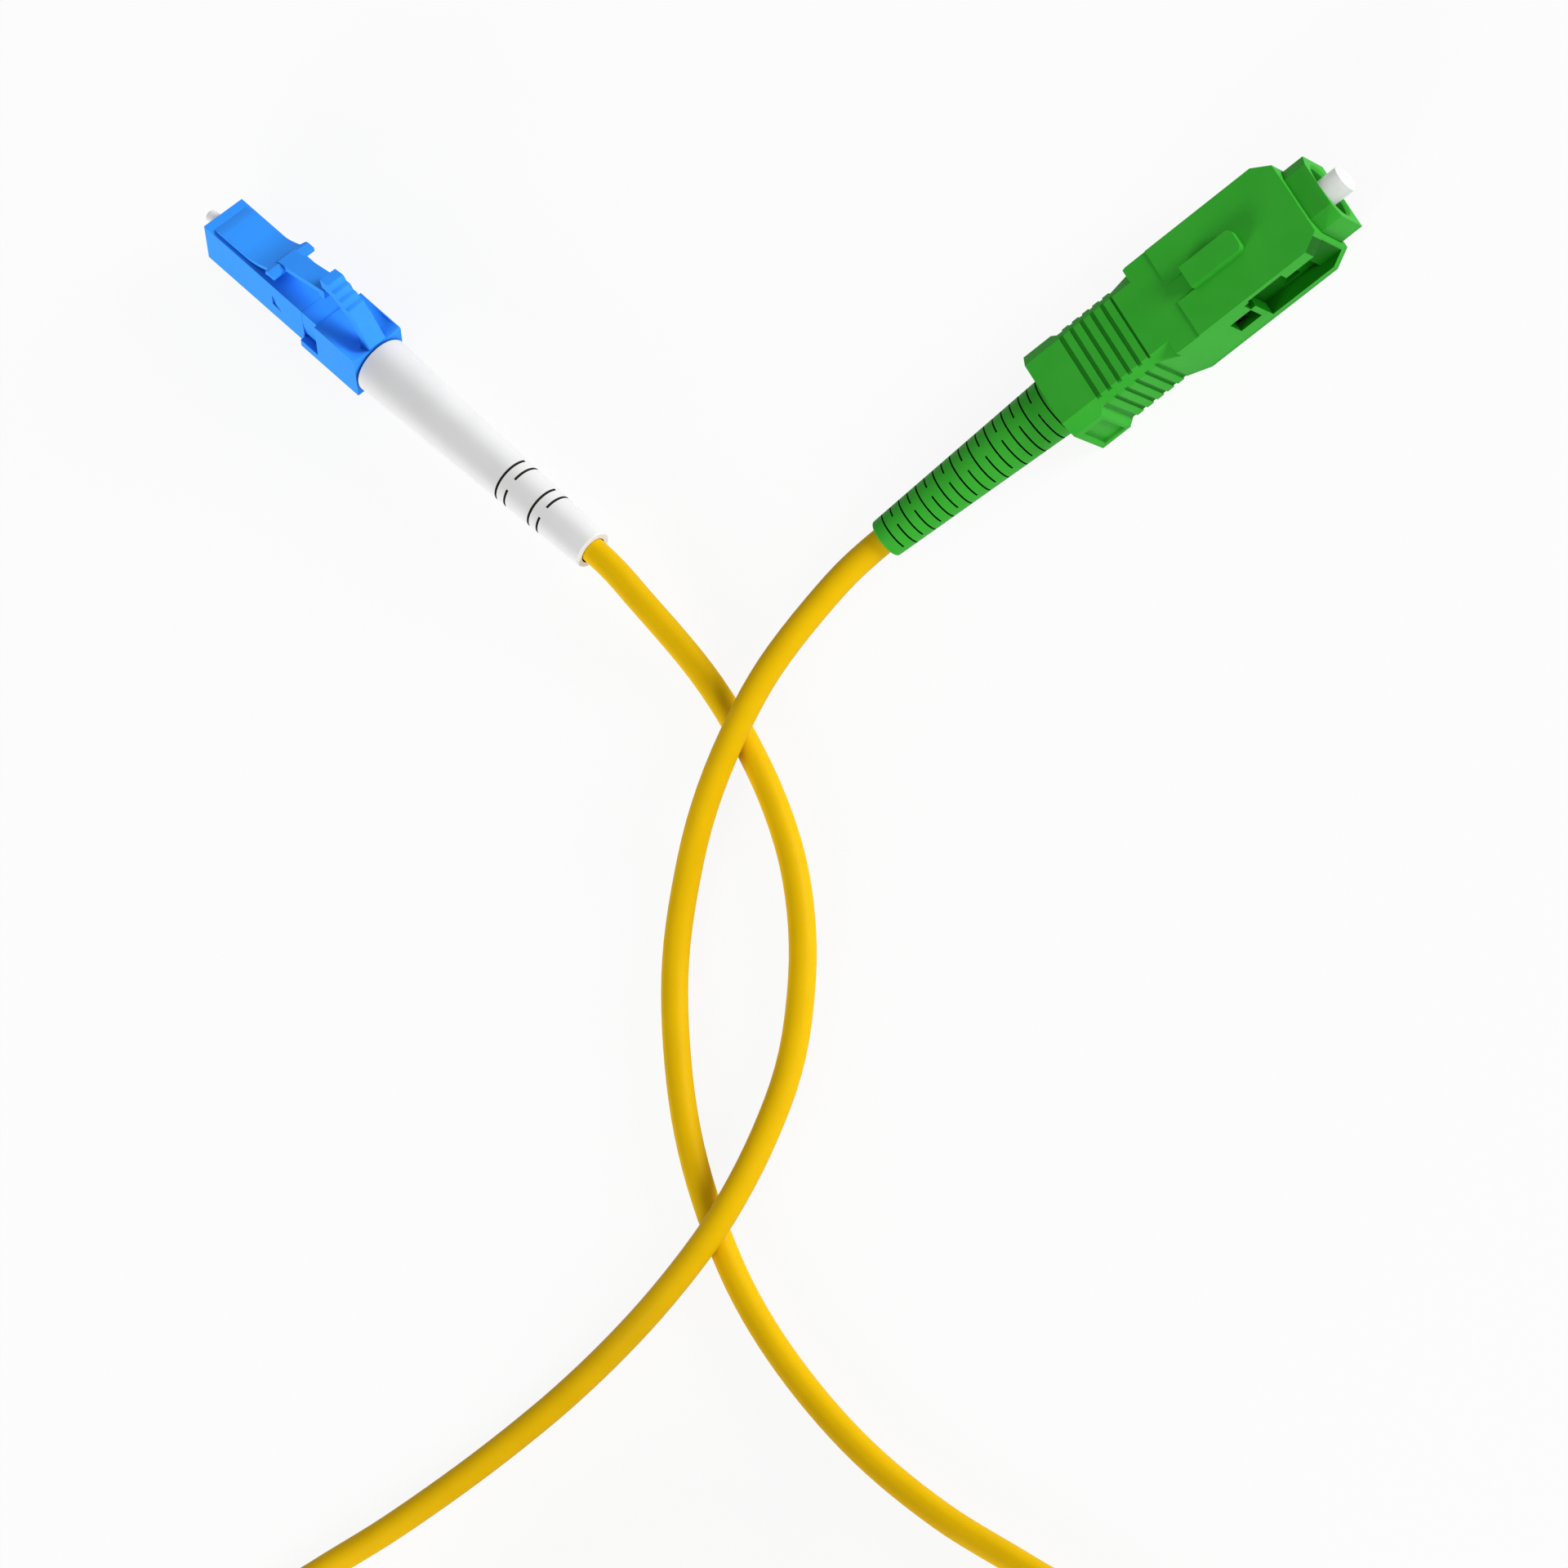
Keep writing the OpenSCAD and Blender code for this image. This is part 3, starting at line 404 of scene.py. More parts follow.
def coilTurns(facts, middleRadius):
    # four layers that spiral in, out, in and out, each climbing to the next in a half turn
    turns, pitch = facts["coilTurnsPerLayer"], facts["coilPitch"]
    outer = middleRadius + turns * pitch / 2
    inner = middleRadius - turns * pitch / 2
    centre = Vector((facts["coilFoot"][0], facts["coilFoot"][1] + outer))
    whole = 4 * turns + 1.5
    points = []
    for k in range(int(whole * facts["pointsPerTurn"]) + 1):
        t = k / facts["pointsPerTurn"]
        layer = math.floor(t / (turns + 0.5))
        way = t - layer * (turns + 0.5)
        drift = min(way, turns) * pitch
        radius = outer - drift if layer % 2 == 0 else inner + drift
        height = facts["coilBase"] + facts["coilLayer"] * (layer + max(0, way - turns) * 2)
        angle = 2 * math.pi * t - math.pi / 2
        points.append(Vector((centre.x + radius * math.cos(angle), centre.y + radius * math.sin(angle), height)))
    return points


def cordPath(facts):
    foot, lead = facts["coilFoot"], facts["diameter"]
    low = facts["coilBase"]
    high = low + 3 * facts["coilLayer"]
    intoCoil, outOfCoil = (foot[0] - 2 * lead, foot[1], low), (foot[0] + 2 * lead, foot[1], high)
    fromLc = strandPath(lcMatrix, facts["lcJacketStart"], facts["lcBootEnd"], 3, lcRoute, intoCoil)
    fromSc = strandPath(scMatrix, facts["scJacketStart"], facts["scBootEnd"], 2, scRoute, outOfCoil)
    inPlugs = (facts["lcJacketStart"] - facts["lcFerruleTip"] + facts["scJacketStart"] - facts["scFerruleTip"]) * mm
    wound = facts["length"] - pathLength(fromLc) - pathLength(fromSc) - inPlugs - 4 * lead
    turns = facts["coilTurnsPerLayer"]
    middleRadius = (wound / (2 * math.pi) + turns * facts["coilPitch"] / 4) / (4 * turns + 1.5)
    return [*fromLc, *coilTurns(facts, middleRadius), *reversed(fromSc)], middleRadius


def tubeCurve(name, path, radius):
    data = bpy.data.curves.new(name, "CURVE")
    data.dimensions = "3D"
    spline = data.splines.new("POLY")
    spline.points.add(len(path) - 1)
    for point, place in zip(spline.points, path):
        point.co = (*place, 1)
    spline.use_smooth = True
    data.bevel_depth = radius
    data.bevel_resolution = 5
    data.use_fill_caps = True
    return data


jacketPath, coilMiddleRadius = cordPath(cordFacts)
jacketData = tubeCurve("yellowCord", jacketPath, cordFacts["diameter"] / 2)
jacketData.materials.append(materials["yellowJacket"])
yellowCord = addPiece("yellowCord", jacketData, None, "cord_assembly", ["cord_lc_run", "cord_coil", "cord_sc_run"])
print("cord laid", round(pathLength(jacketPath), 4), "m, middle radius of the coil", round(coilMiddleRadius, 5))

# The two straps round the coil: a closed loop each, with the free end lapped over on top

strapFacts = {
    "width": 5.0,
    "thickness": 0.5,
    "room": 0.3,
    "corner": 1.4,
    "lap": 8.0,
    "lapStart": 2.5,  # from the coil's inner side to the free end
    "rounding": 0.1,
    "count": 2,
}


def ribbon(bm, outline, width, thickness):
    # the edges of an outline in the XZ plane, drawn out along Y and given a thickness
    before = set(bm.faces)
    out = bmesh.ops.extrude_edge_only(bm, edges=outline)
    bmesh.ops.translate(bm, verts=vertsIn(out), vec=(0, width, 0))
    faces = [f for f in bm.faces if f not in before]
    bmesh.ops.recalc_face_normals(bm, faces=faces)
    bmesh.ops.solidify(bm, geom=faces, thickness=thickness)


def strapPiece(index, facts, coil):
    t, half = facts["thickness"], facts["width"] / 2
    reach = coil["coilTurnsPerLayer"] * coil["coilPitch"] / mm / 2
    cordRadius = coil["diameter"] / mm / 2
    middle = coilMiddleRadius / mm
    inner = math.sqrt((middle - reach - cordRadius) ** 2 - half**2) - facts["room"] - t
    outer = middle + reach + cordRadius + facts["room"] + t
    top = (coil["coilBase"] + 3 * coil["coilLayer"]) / mm + cordRadius + facts["room"] + t
    bm = bmesh.new()
    corners = [bm.verts.new((x, -half, z)) for x, z in ((inner, 0), (outer, 0), (outer, top), (inner, top))]
    for k in range(4):
        bm.edges.new((corners[k], corners[(k + 1) % 4]))
    bmesh.ops.bevel(bm, geom=corners, offset=facts["corner"], offset_type="OFFSET", segments=8, profile=0.5,
                    affect="VERTICES", material=-1, clamp_overlap=True)
    ribbon(bm, bm.edges[:], facts["width"], t)
    lapEnd = inner + facts["lapStart"]
    lap = [bm.verts.new((x, -half, z)) for x, z in
           ((lapEnd, top + t), (lapEnd + facts["lap"] - 1.5, top + t), (lapEnd + facts["lap"], top + 0.05))]
    ribbon(bm, [bm.edges.new((lap[k], lap[k + 1])) for k in range(2)], facts["width"], t * 0.94)
    rims = [e for e in bm.edges if e.is_manifold and e.calc_face_angle(0) > math.radians(60)]
    roundEdges(bm, rims, facts["rounding"])
    centre = Vector((coil["coilFoot"][0] / mm, coil["coilFoot"][1] / mm + middle + reach, 0))
    turn = Matrix.Rotation(math.pi * index, 4, "Z")
    bmesh.ops.transform(bm, matrix=Matrix.Scale(mm, 4) @ Matrix.Translation(centre) @ turn, verts=bm.verts)
    return addPiece(f"coilStrap{index + 1}", meshFrom(bm, f"coilStrap{index + 1}"), "strapCloth", "cord_assembly",
                    ["coil_ties"])


straps = [strapPiece(k, strapFacts, cordFacts) for k in range(strapFacts["count"])]
print("straps tied")

# Moulded pieces keep the shape of their solids, with the small rounding that a mould leaves on every edge

recess = {"from": 0.4, "low": -2.95, "high": 2.9, "inner": 2.6, "ribsFrom": 17.4}
mouldedFacts = {
    "lcNose": {"node": "lc_plug_body", "rounding": 0.1, "top": 2.25},
    "scFrame": {"node": "sc_plug_frame", "rounding": 0.1, "recess": {**recess, "to": 11.5, "outer": 4.0}},
    "scGrip": {"node": "sc_grip_housing", "rounding": 0.12, "recess": {**recess, "to": 11.2, "outer": 4.25}},
}


def mouldedCopy(name, facts, matrix, material, body):
    radius, height, recess = facts["rounding"], facts.get("top"), facts.get("recess")
    bm = bmesh.new()
    bm.from_mesh(nodes[facts["node"]].data)
    bmesh.ops.remove_doubles(bm, verts=bm.verts, dist=weld)
    if height is not None:
        # what stands above the top is the latch's root, which belongs to the latch here
        cut = bmesh.ops.bisect_plane(bm, geom=allOf(bm), dist=0.0000005,
                                     plane_co=inRow(matrix, 0, 0, height), plane_no=alongAxis(matrix, (0, 0, 1)),
                                     clear_outer=True)
        rim = [e for e in cut["geom_cut"] if isinstance(e, bmesh.types.BMEdge)]
        bmesh.ops.holes_fill(bm, edges=rim, sides=0)
        # the shallow groove under the latch's root closes up
        for vert in bm.verts:
            place = matrix.inverted() @ vert.co
            if place.z > height - 0.1:
                vert.co = inRow(matrix, place.x, place.y, height)
    bmesh.ops.dissolve_limit(bm, angle_limit=math.radians(1.5), verts=bm.verts, edges=bm.edges)
    bm.normal_update()
    sharp = [e for e in bm.edges if e.is_manifold and e.calc_face_angle(0) > math.radians(30)
             and e.calc_length() > 2.2 * radius * mm]
    roundEdges(bm, sharp, radius * mm, loopSlide=True)
    print(name, len(sharp), "edges rounded,", len(bm.faces), "faces")
    if recess is not None:
        # painted shade: the side recesses get a darker material, as shade where little light comes, and the corners
        # between the ribs a softer painted corner shade
        bmesh.ops.transform(bm, matrix=matrix.inverted(), verts=bm.verts)
        bmesh.ops.bisect_plane(bm, geom=allOf(bm), dist=0.00001, plane_co=(recess["from"], 0, 0),
                               plane_no=(1, 0, 0))
        for face in bm.faces:
            x, y, z = face.calc_center_median()
            inside = recess["from"] < x < recess["to"] and recess["low"] < z < recess["high"]
            deep = inside and recess["inner"] < abs(y) < recess["outer"]
            face.material_index = 1 if deep else 2 if x > recess["ribsFrom"] else 0
        bmesh.ops.transform(bm, matrix=matrix, verts=bm.verts)
    mesh = meshFrom(bm, name, 50)
    for used in [material] if recess is None else [material, "greenPaintedShade", "greenRibbed"]:
        mesh.materials.append(materials[used])
    return evenNormals(addPiece(name, mesh, None, body, [facts["node"]]))


mouldedCopy("lcNose", mouldedFacts["lcNose"], lcMatrix, "bluePlastic", "cord_assembly")
mouldedCopy("scFrame", mouldedFacts["scFrame"], scMatrix, "greenPlastic", "cord_assembly")
mouldedCopy("scGrip", mouldedFacts["scGrip"], scMatrix, "greenPlastic", "sc_grip")
print("moulded bodies rounded")

# The rear body of the latching plug: its top is filled up and then hollowed in one smooth dip under the trigger,
# deepest beside the trigger's foot. Millimetres in the plug's own frame.

dipFacts = {
    "front": 15.5,
    "rear": 21.2,
    "half": 2.75,
    "frontHalf": 2.25,
    "frontTop": 2.25,
    "top": 2.7,
    "bed": 1.7,
    "chamfer": 0.3,
    "rearChamfer": 0.15,
    "dipHalf": 2.64,
    "deepest": 0.93,
    "deepestAt": 19.5,
    "frontDepth": 0.1,
    "rearDepth": 0.16,
    "rounding": 0.09,
}


def sliced(bm, point, normal):
    # cuts off what lies on the normal's side of a plane and closes the cut
    cut = bmesh.ops.bisect_plane(bm, geom=allOf(bm), dist=0.00001, plane_co=point, plane_no=normal,
                                 clear_outer=True)
    rim = [e for e in cut["geom_cut"] if isinstance(e, bmesh.types.BMEdge)]
    bmesh.ops.holes_fill(bm, edges=rim, sides=0)


def carved(bm, steps):
    # adds or takes away other closed shapes
    mesh = bpy.data.meshes.new("carving")
    bm.to_mesh(mesh)
    block = bpy.data.objects.new("carving", mesh)
    bpy.context.scene.collection.objects.link(block)
    tools = []
    for toolShape, operation in steps:
        toolMesh = bpy.data.meshes.new("tool")
        toolShape.to_mesh(toolMesh)
        toolShape.free()
        tool = bpy.data.objects.new("tool", toolMesh)
        bpy.context.scene.collection.objects.link(tool)
        cut = block.modifiers.new("cut", "BOOLEAN")
        cut.object = tool
        cut.operation = operation
        cut.solver = "EXACT"
        tools.append(tool)
    done = block.evaluated_get(bpy.context.evaluated_depsgraph_get())
    bm.clear()
    bm.from_mesh(done.to_mesh())
    done.to_mesh_clear()
    for spare in [block, *tools]:
        spareMesh = spare.data
        bpy.data.objects.remove(spare)
        bpy.data.meshes.remove(spareMesh)


def rearBodyPiece(facts):
    front, rear, half = facts["front"], facts["rear"], facts["half"]
    top, bed, chamfer = facts["top"], facts["bed"], facts["chamfer"]
    bm = bmesh.new()
    bm.from_mesh(nodes["lc_rear_body"].data)
    bmesh.ops.remove_doubles(bm, verts=bm.verts, dist=weld)
    bmesh.ops.transform(bm, matrix=lcMatrix.inverted(), verts=bm.verts)
    fill = bmesh.new()
    bmesh.ops.create_cube(fill, size=1)
    bmesh.ops.scale(fill, vec=(rear - front, 2 * half, top - bed), verts=fill.verts)
    bmesh.ops.translate(fill, vec=((front + rear) / 2, 0, (top + bed) / 2), verts=fill.verts)
    sliced(fill, (front, 0, facts["frontTop"]), (facts["frontTop"] - top, 0, chamfer))
    for side in (-1, 1):
        sliced(fill, (front, side * facts["frontHalf"], 0), (facts["frontHalf"] - half, side * chamfer, 0))
    sliced(fill, (rear, 0, top - facts["rearChamfer"]), (1, 0, 1))
    dip = bmesh.new()
    bmesh.ops.create_grid(dip, x_segments=40, y_segments=28, size=0.5)
    bmesh.ops.scale(dip, vec=(rear - front + 0.4, 2 * facts["dipHalf"], 1), verts=dip.verts)
    bmesh.ops.translate(dip, vec=((front + rear) / 2, 0, top), verts=dip.verts)
    under = dip.verts[:]
    above = bmesh.ops.extrude_face_region(dip, geom=dip.faces[:])
    bmesh.ops.translate(dip, vec=(0, 0, 1.5), verts=vertsIn(above))
    for vert in under:  # sinks the tool's underside into the dip's form
        x = min(max(vert.co.x, front), rear)
        if x < facts["deepestAt"]:
            way, least = (x - front) / (facts["deepestAt"] - front), facts["frontDepth"]
            way = way**1.5
        else:
            way, least = (rear - x) / (rear - facts["deepestAt"]), facts["rearDepth"]
        depth = least + (facts["deepest"] - least) * way * way * (3 - 2 * way)
        vert.co.z -= depth * (1 - (vert.co.y / (facts["dipHalf"] + 0.02)) ** 2) ** 0.8
    bmesh.ops.recalc_face_normals(dip, faces=dip.faces)
    carved(bm, [(fill, "UNION"), (dip, "DIFFERENCE")])
    bmesh.ops.remove_doubles(bm, verts=bm.verts, dist=0.002)
    bmesh.ops.dissolve_limit(bm, angle_limit=math.radians(0.5), verts=bm.verts, edges=bm.edges)
    bm.normal_update()
    sharp = [e for e in bm.edges if e.is_manifold and e.is_convex and e.calc_face_angle(0) > math.radians(32)
             and e.calc_length() > 2 * facts["rounding"]]
    roundEdges(bm, sharp, facts["rounding"], loopSlide=True)
    bmesh.ops.transform(bm, matrix=lcMatrix, verts=bm.verts)
    reportShape("lcRearBody", bm)
    piece = addPiece("lcRearBody", meshFrom(bm, "lcRearBody", 50), "bluePlastic", "cord_assembly", ["lc_rear_body"])
    return evenNormals(piece)


rearBodyPiece(dipFacts)

# The latch with its root, and the trigger: side outlines drawn out across the plug. X and Z in millimetres.

latchFacts = {
    "noseTop": 2.25,
    "rootTop": 2.8,
    "lugRise": 1.5,
    "armThickness": 0.5,
    "armHalf": 1.9,
    "tailHalf": 1.0,
    "lugHalf": 2.4,
    "lugFront": 8.7,
    "lugRear": 10.1,
    "curveStart": 4.9,
    "stations": [4.6, 4.9, 5.2, 5.5, 5.8, 6.1, 6.4, 6.8, 7.2, 7.6, 8.0, 8.35, 8.7, 9.23, 10.1],
    "tailFront": [(8.75, -0.15), (8.8, 0.05), (9.0, 0.17)],  # X, and height over the arm there
    "tail": [(10.35, 4.66), (15.35, 6.0), (15.5, 5.9), (15.5, 4.9), (14.75, 4.75), (14.7, 5.2), (10.6, 4.05)],
    "bend": ((4.6, 0, 2.52), (6.4, 0, 2.52)),
    "rounding": 0.07,
}
triggerFacts = {
    "half": 0.9,
    "foot": [(19.85, 1.75), (21.15, 1.75), (21.15, 2.95), (21.36, 3.03), (21.36, 3.07), (19.55, 5.35)],
    "ribs": [(18.8, 6.08), (17.93, 6.52), (17.06, 6.96), (16.19, 7.4)],
    "ribDepths": [0.55, 0.5, 0.5, 0.5],
    "inside": [(15.0, 7.2), (15.05, 6.7), (15.2, 6.25), (16.0, 6.15), (16.6, 6.15), (18.9, 4.8), (19.95, 3.2),
               (19.9, 2.8)],
    "ribbed": (16, 19.3),
    "bend": ((20.5, 0, 2.3), (20.3, 0, 3.6)),
    "ribRounding": 0.13,
    "rounding": 0.05,
}


def sideBlock(outline, half):
    # a closed block: an outline in the plug's XZ plane drawn out to both sides
    bm = bmesh.new()
    side = bm.faces.new([bm.verts.new((x, -half, z)) for x, z in outline])
    out = bmesh.ops.extrude_face_region(bm, geom=[side])
    bmesh.ops.translate(bm, verts=vertsIn(out), vec=(0, 2 * half, 0))
    bmesh.ops.recalc_face_normals(bm, faces=bm.faces)
    return bm


def softenEdges(bm, radius, sharperThan=25.0, segments=2, among=None):
    bm.normal_update()
    edges = [e for e in (among or bm.edges)
             if e.is_manifold and e.is_convex and e.calc_face_angle(0) > math.radians(sharperThan)]
    roundEdges(bm, edges, radius, segments, loopSlide=True)


def bendBetween(piece, joint, moving, start, end):
    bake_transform(piece)
    print(piece.name, "bends at", joint)


def latchPiece(facts):
    nose, root, rear = facts["noseTop"], facts["rootTop"], facts["lugRear"]
    thick, lugFront = facts["armThickness"], facts["lugFront"]

    def rise(x):
        return root + min(facts["lugRise"], 0.08 * max(0, x - facts["curveStart"]) ** 2)

    top = [(x, rise(x)) for x in facts["stations"]]
    under = [(x, max(nose - 0.1, rise(x) - thick)) for x in reversed(facts["stations"])]
    bm = sideBlock([(1.0, nose - 0.1), (1.0, nose + 0.04), (1.9, root - 0.08), (2.5, root), *top, *under],
                   facts["armHalf"])
    lug = sideBlock([*top[-3:], *under[:3]], facts["lugHalf"])
    for side in (-1, 1):  # the lugs' front edges run back a little towards their tips
        sliced(lug, (lugFront, side * facts["armHalf"], 0), (-0.5, side * 0.2, 0))
    tail = sideBlock([*((x, rise(x) + up) for x, up in facts["tailFront"]), *facts["tail"],
                      (rear - 0.1, rise(rear) - thick + 0.1)], facts["tailHalf"])
    carved(bm, [(lug, "UNION"), (tail, "UNION")])
    bmesh.ops.remove_doubles(bm, verts=bm.verts, dist=0.002)
    bmesh.ops.dissolve_limit(bm, angle_limit=math.radians(0.5), verts=bm.verts, edges=bm.edges)
    softenEdges(bm, facts["rounding"])
    reportShape("lcLatch", bm)
    bmesh.ops.transform(bm, matrix=lcMatrix, verts=bm.verts)
    piece = addPiece("lcLatch", meshFrom(bm, "lcLatch", 50), "bluePlastic", None, ["lc_latch"])
    evenNormals(piece)
    bendBetween(piece, "lc_latch_flex", "lc_latch", *facts["bend"])


def triggerPiece(facts):
    outline = facts["foot"][:]
    for (x, z), depth in zip(facts["ribs"], facts["ribDepths"]):
        outline += [(x + 0.35, z - depth), (x, z)]
    bm = sideBlock(outline + facts["inside"], facts["half"])
    front, rear = facts["ribbed"]
    ribEdges = []
    for edge in bm.edges:
        x, y, z = edge.verts[0].co
        crossing = abs(y + edge.verts[1].co.y) < 0.01 and edge.calc_length() > facts["half"]
        if crossing and front < x < rear and z > 5.4 and x + z > 22.6:  # only those of the ribs' side
            ribEdges.append(edge)
    softenEdges(bm, facts["ribRounding"], 12, 3, ribEdges)
    softenEdges(bm, facts["rounding"], 40)
    reportShape("lcTrigger", bm)
    bmesh.ops.transform(bm, matrix=lcMatrix, verts=bm.verts)
    piece = addPiece("lcTrigger", meshFrom(bm, "lcTrigger", 50), "bluePlastic", None, ["lc_trigger"])
    evenNormals(piece)
    bendBetween(piece, "lc_trigger_press", "lc_trigger", *facts["bend"])


latchPiece(latchFacts)
triggerPiece(triggerFacts)
print("latch and trigger made")

# Boots: turned sleeves with slits cut through to the jacket

bootFacts = {
    "lc": {
        "start": 21.4, "taperStart": 21.4, "end": 49.5, "wide": 5.5, "narrow": 3.7, "room": 3.8, "roomEnd": 30.2,
        "bore": 2.6, "slitWidth": 0.25, "slitSweep": 150, "mouthRounding": 0.12, "endRounding": 0.14,
        "slits": [(39.15 + 4.1 * group + 1.1 * row, 125 + 90 * row) for group in (0, 1) for row in (0, 1)],
    },
    "sc": {
        "start": 22.4, "taperStart": 27.0, "end": 46.5, "wide": 5.4, "narrow": 3.6, "room": 4.3, "roomEnd": 32.2,
        "bore": 2.6, "slitWidth": 0.16, "slitSweep": 155, "mouthRounding": 0.1, "endRounding": 0.25,
        "slits": [(27.55 + 0.985 * row, 90 + 90 * (row % 2)) for row in range(19)],
    },
}


def turned(bm, outline, steps=72):
    # spins an outline of x and radius once round the plug's axis
    verts = [bm.verts.new((x, 0, r)) for x, r in outline]
    edges = [bm.edges.new((verts[k], verts[(k + 1) % len(verts)])) for k in range(len(verts))]
    bmesh.ops.spin(bm, geom=verts + edges, cent=(0, 0, 0), axis=(1, 0, 0), angle=2 * math.pi, steps=steps,
                   use_merge=True, use_duplicate=False)
    bmesh.ops.remove_doubles(bm, verts=bm.verts, dist=0.0005)
    bmesh.ops.recalc_face_normals(bm, faces=bm.faces)


def bootPiece(name, facts, matrix, material, paintedShadeMaterial, node):
    start, end = facts["start"], facts["end"]
    half = facts["slitWidth"] / 2

    def outer(x):
        way = max(0, x - facts["taperStart"]) / (end - facts["taperStart"])
        return (facts["wide"] + (facts["narrow"] - facts["wide"]) * way) / 2

    def inner(x):
        return facts["room"] / 2 if x < facts["roomEnd"] else facts["bore"] / 2

    cuts = sorted(x + side for x, _ in facts["slits"] for side in (-half, half))
    stations = sorted({start, end, facts["roomEnd"] - 0.01, facts["roomEnd"] + 0.01, facts["taperStart"], *cuts})
    outline = [(x, outer(x)) for x in stations] + [(x, inner(x)) for x in reversed(stations)]
    bm = bmesh.new()
    turned(bm, outline)
    for x, middle in facts["slits"]:
        for turn in (middle, middle + 180):
            cut = []
            for face in bm.faces:
                place = face.calc_center_median()
                angle = math.degrees(math.atan2(place.z, place.y)) - turn
                if abs(place.x - x) < half * 0.9 and abs((angle + 180) % 360 - 180) < facts["slitSweep"] / 2:
                    cut.append(face)
            rim = {e for f in cut for e in f.edges if sum(g in cut for g in e.link_faces) == 1}
            bmesh.ops.delete(bm, geom=cut, context="FACES")
            walls = bmesh.ops.bridge_loops(bm, edges=[e for e in rim if e.is_valid])["faces"]
            # the slit walls take the second material, painted dark as shade
            for face in walls:
                face.material_index = 1
    bmesh.ops.recalc_face_normals(bm, faces=bm.faces)
    for edgeX, size in ((start, facts["mouthRounding"]), (end, facts["endRounding"])):
        ring = [e for e in bm.edges if all(abs(v.co.x - edgeX) < 0.001 and v.co.yz.length > outer(edgeX) - 0.02
                                           for v in e.verts)]
        roundEdges(bm, ring, size, 4)
    for face in bm.faces:
        place = face.calc_center_median()
        if place.yz.length < inner(place.x) + 0.01:  # the bore, painted dark as shade, as the slits are
            face.material_index = 1
    bmesh.ops.transform(bm, matrix=matrix, verts=bm.verts)
    reportShape(name, bm)
    mesh = meshFrom(bm, name, 40)
    mesh.materials.append(materials[material])
    mesh.materials.append(materials[paintedShadeMaterial])
    return addPiece(name, mesh, None, "cord_assembly", [node])


bootPiece("lcBoot", bootFacts["lc"], lcMatrix, "whiteRubber", "whitePaintedShade", "lc_boot")
bootPiece("scBoot", bootFacts["sc"], scMatrix, "greenRubber", "greenPaintedShade", "sc_boot")
print("boots turned")

# Ferrules: ceramic pins with a chamfered end and the glass in the middle of it. The push-pull one is polished
# at an angle.

ferruleFacts = {
    "lc": {"tip": -2.1, "end": 4.4, "radius": 0.6245, "chamfer": 0.12, "chamferLength": 0.17, "angle": 0.0},
    "sc": {"tip": -4.1, "end": 6.4, "radius": 1.2495, "chamfer": 0.22, "chamferLength": 0.26, "angle": 8.0},
}
glassRadius = 0.0625


def ferrulePiece(name, facts, matrix, body, replaced):
    tip, radius = facts["tip"], facts["radius"]
    land = radius - facts["chamfer"]
    bm = bmesh.new()
    outline = [(tip, glassRadius), (tip, land), (tip + facts["chamferLength"], radius), (facts["end"], radius),
               (facts["end"], glassRadius)]
    turned(bm, outline, 64)
    ring = [e for e in bm.edges if all(v.co.x < tip + facts["chamferLength"] + 0.001 and v.co.yz.length > land - 0.001
                                       for v in e.verts) and abs(e.verts[0].co.x - e.verts[1].co.x) < 0.001]
    roundEdges(bm, ring, 0.04, 3)
    # the glass: a thin rod that fills the ferrule's bore
    glass = bmesh.ops.create_cone(bm, cap_ends=True, segments=24, radius1=glassRadius * 0.998,
                                  radius2=glassRadius * 0.998, depth=facts["end"] - tip - 0.01)["verts"]
    bmesh.ops.rotate(bm, verts=glass, cent=(0, 0, 0), matrix=Matrix.Rotation(math.radians(90), 3, "Y"))
    bmesh.ops.translate(bm, verts=glass, vec=((tip + facts["end"]) / 2, 0, 0))
    for face in bm.faces:
        face.material_index = 1 if face.calc_center_median().yz.length < glassRadius * 0.9 else 0
    slope = math.tan(math.radians(facts["angle"]))
    for vert in bm.verts:
        share = max(0, 1 - (vert.co.x - tip) / 0.5)
        vert.co.x += (vert.co.z + land) * slope * share
    bmesh.ops.transform(bm, matrix=matrix, verts=bm.verts)
    mesh = meshFrom(bm, name)
    mesh.materials.append(materials["zirconia"])
    mesh.materials.append(materials["fibreCore"])
    return addPiece(name, mesh, None, body, replaced)


ferrulePiece("lcFerrule", ferruleFacts["lc"], lcMatrix, "lc_ferrule_body", ["lc_ferrule"])
ferrulePiece("scFerrule", ferruleFacts["sc"], scMatrix, "sc_ferrule_body", ["sc_ferrule"])
print("ferrules turned")

# Strength yarn: a layer of fine strands laid along each back post, under the crimp ring

yarnFacts = {
    "lc": {"start": 22.0, "end": 26.7, "middle": 1.31, "strand": 0.11, "spacing": 0.125, "lean": 3.0},
    "sc": {"start": 23.0, "end": 28.7, "middle": 1.76, "strand": 0.11, "spacing": 0.125, "lean": 3.0},
}


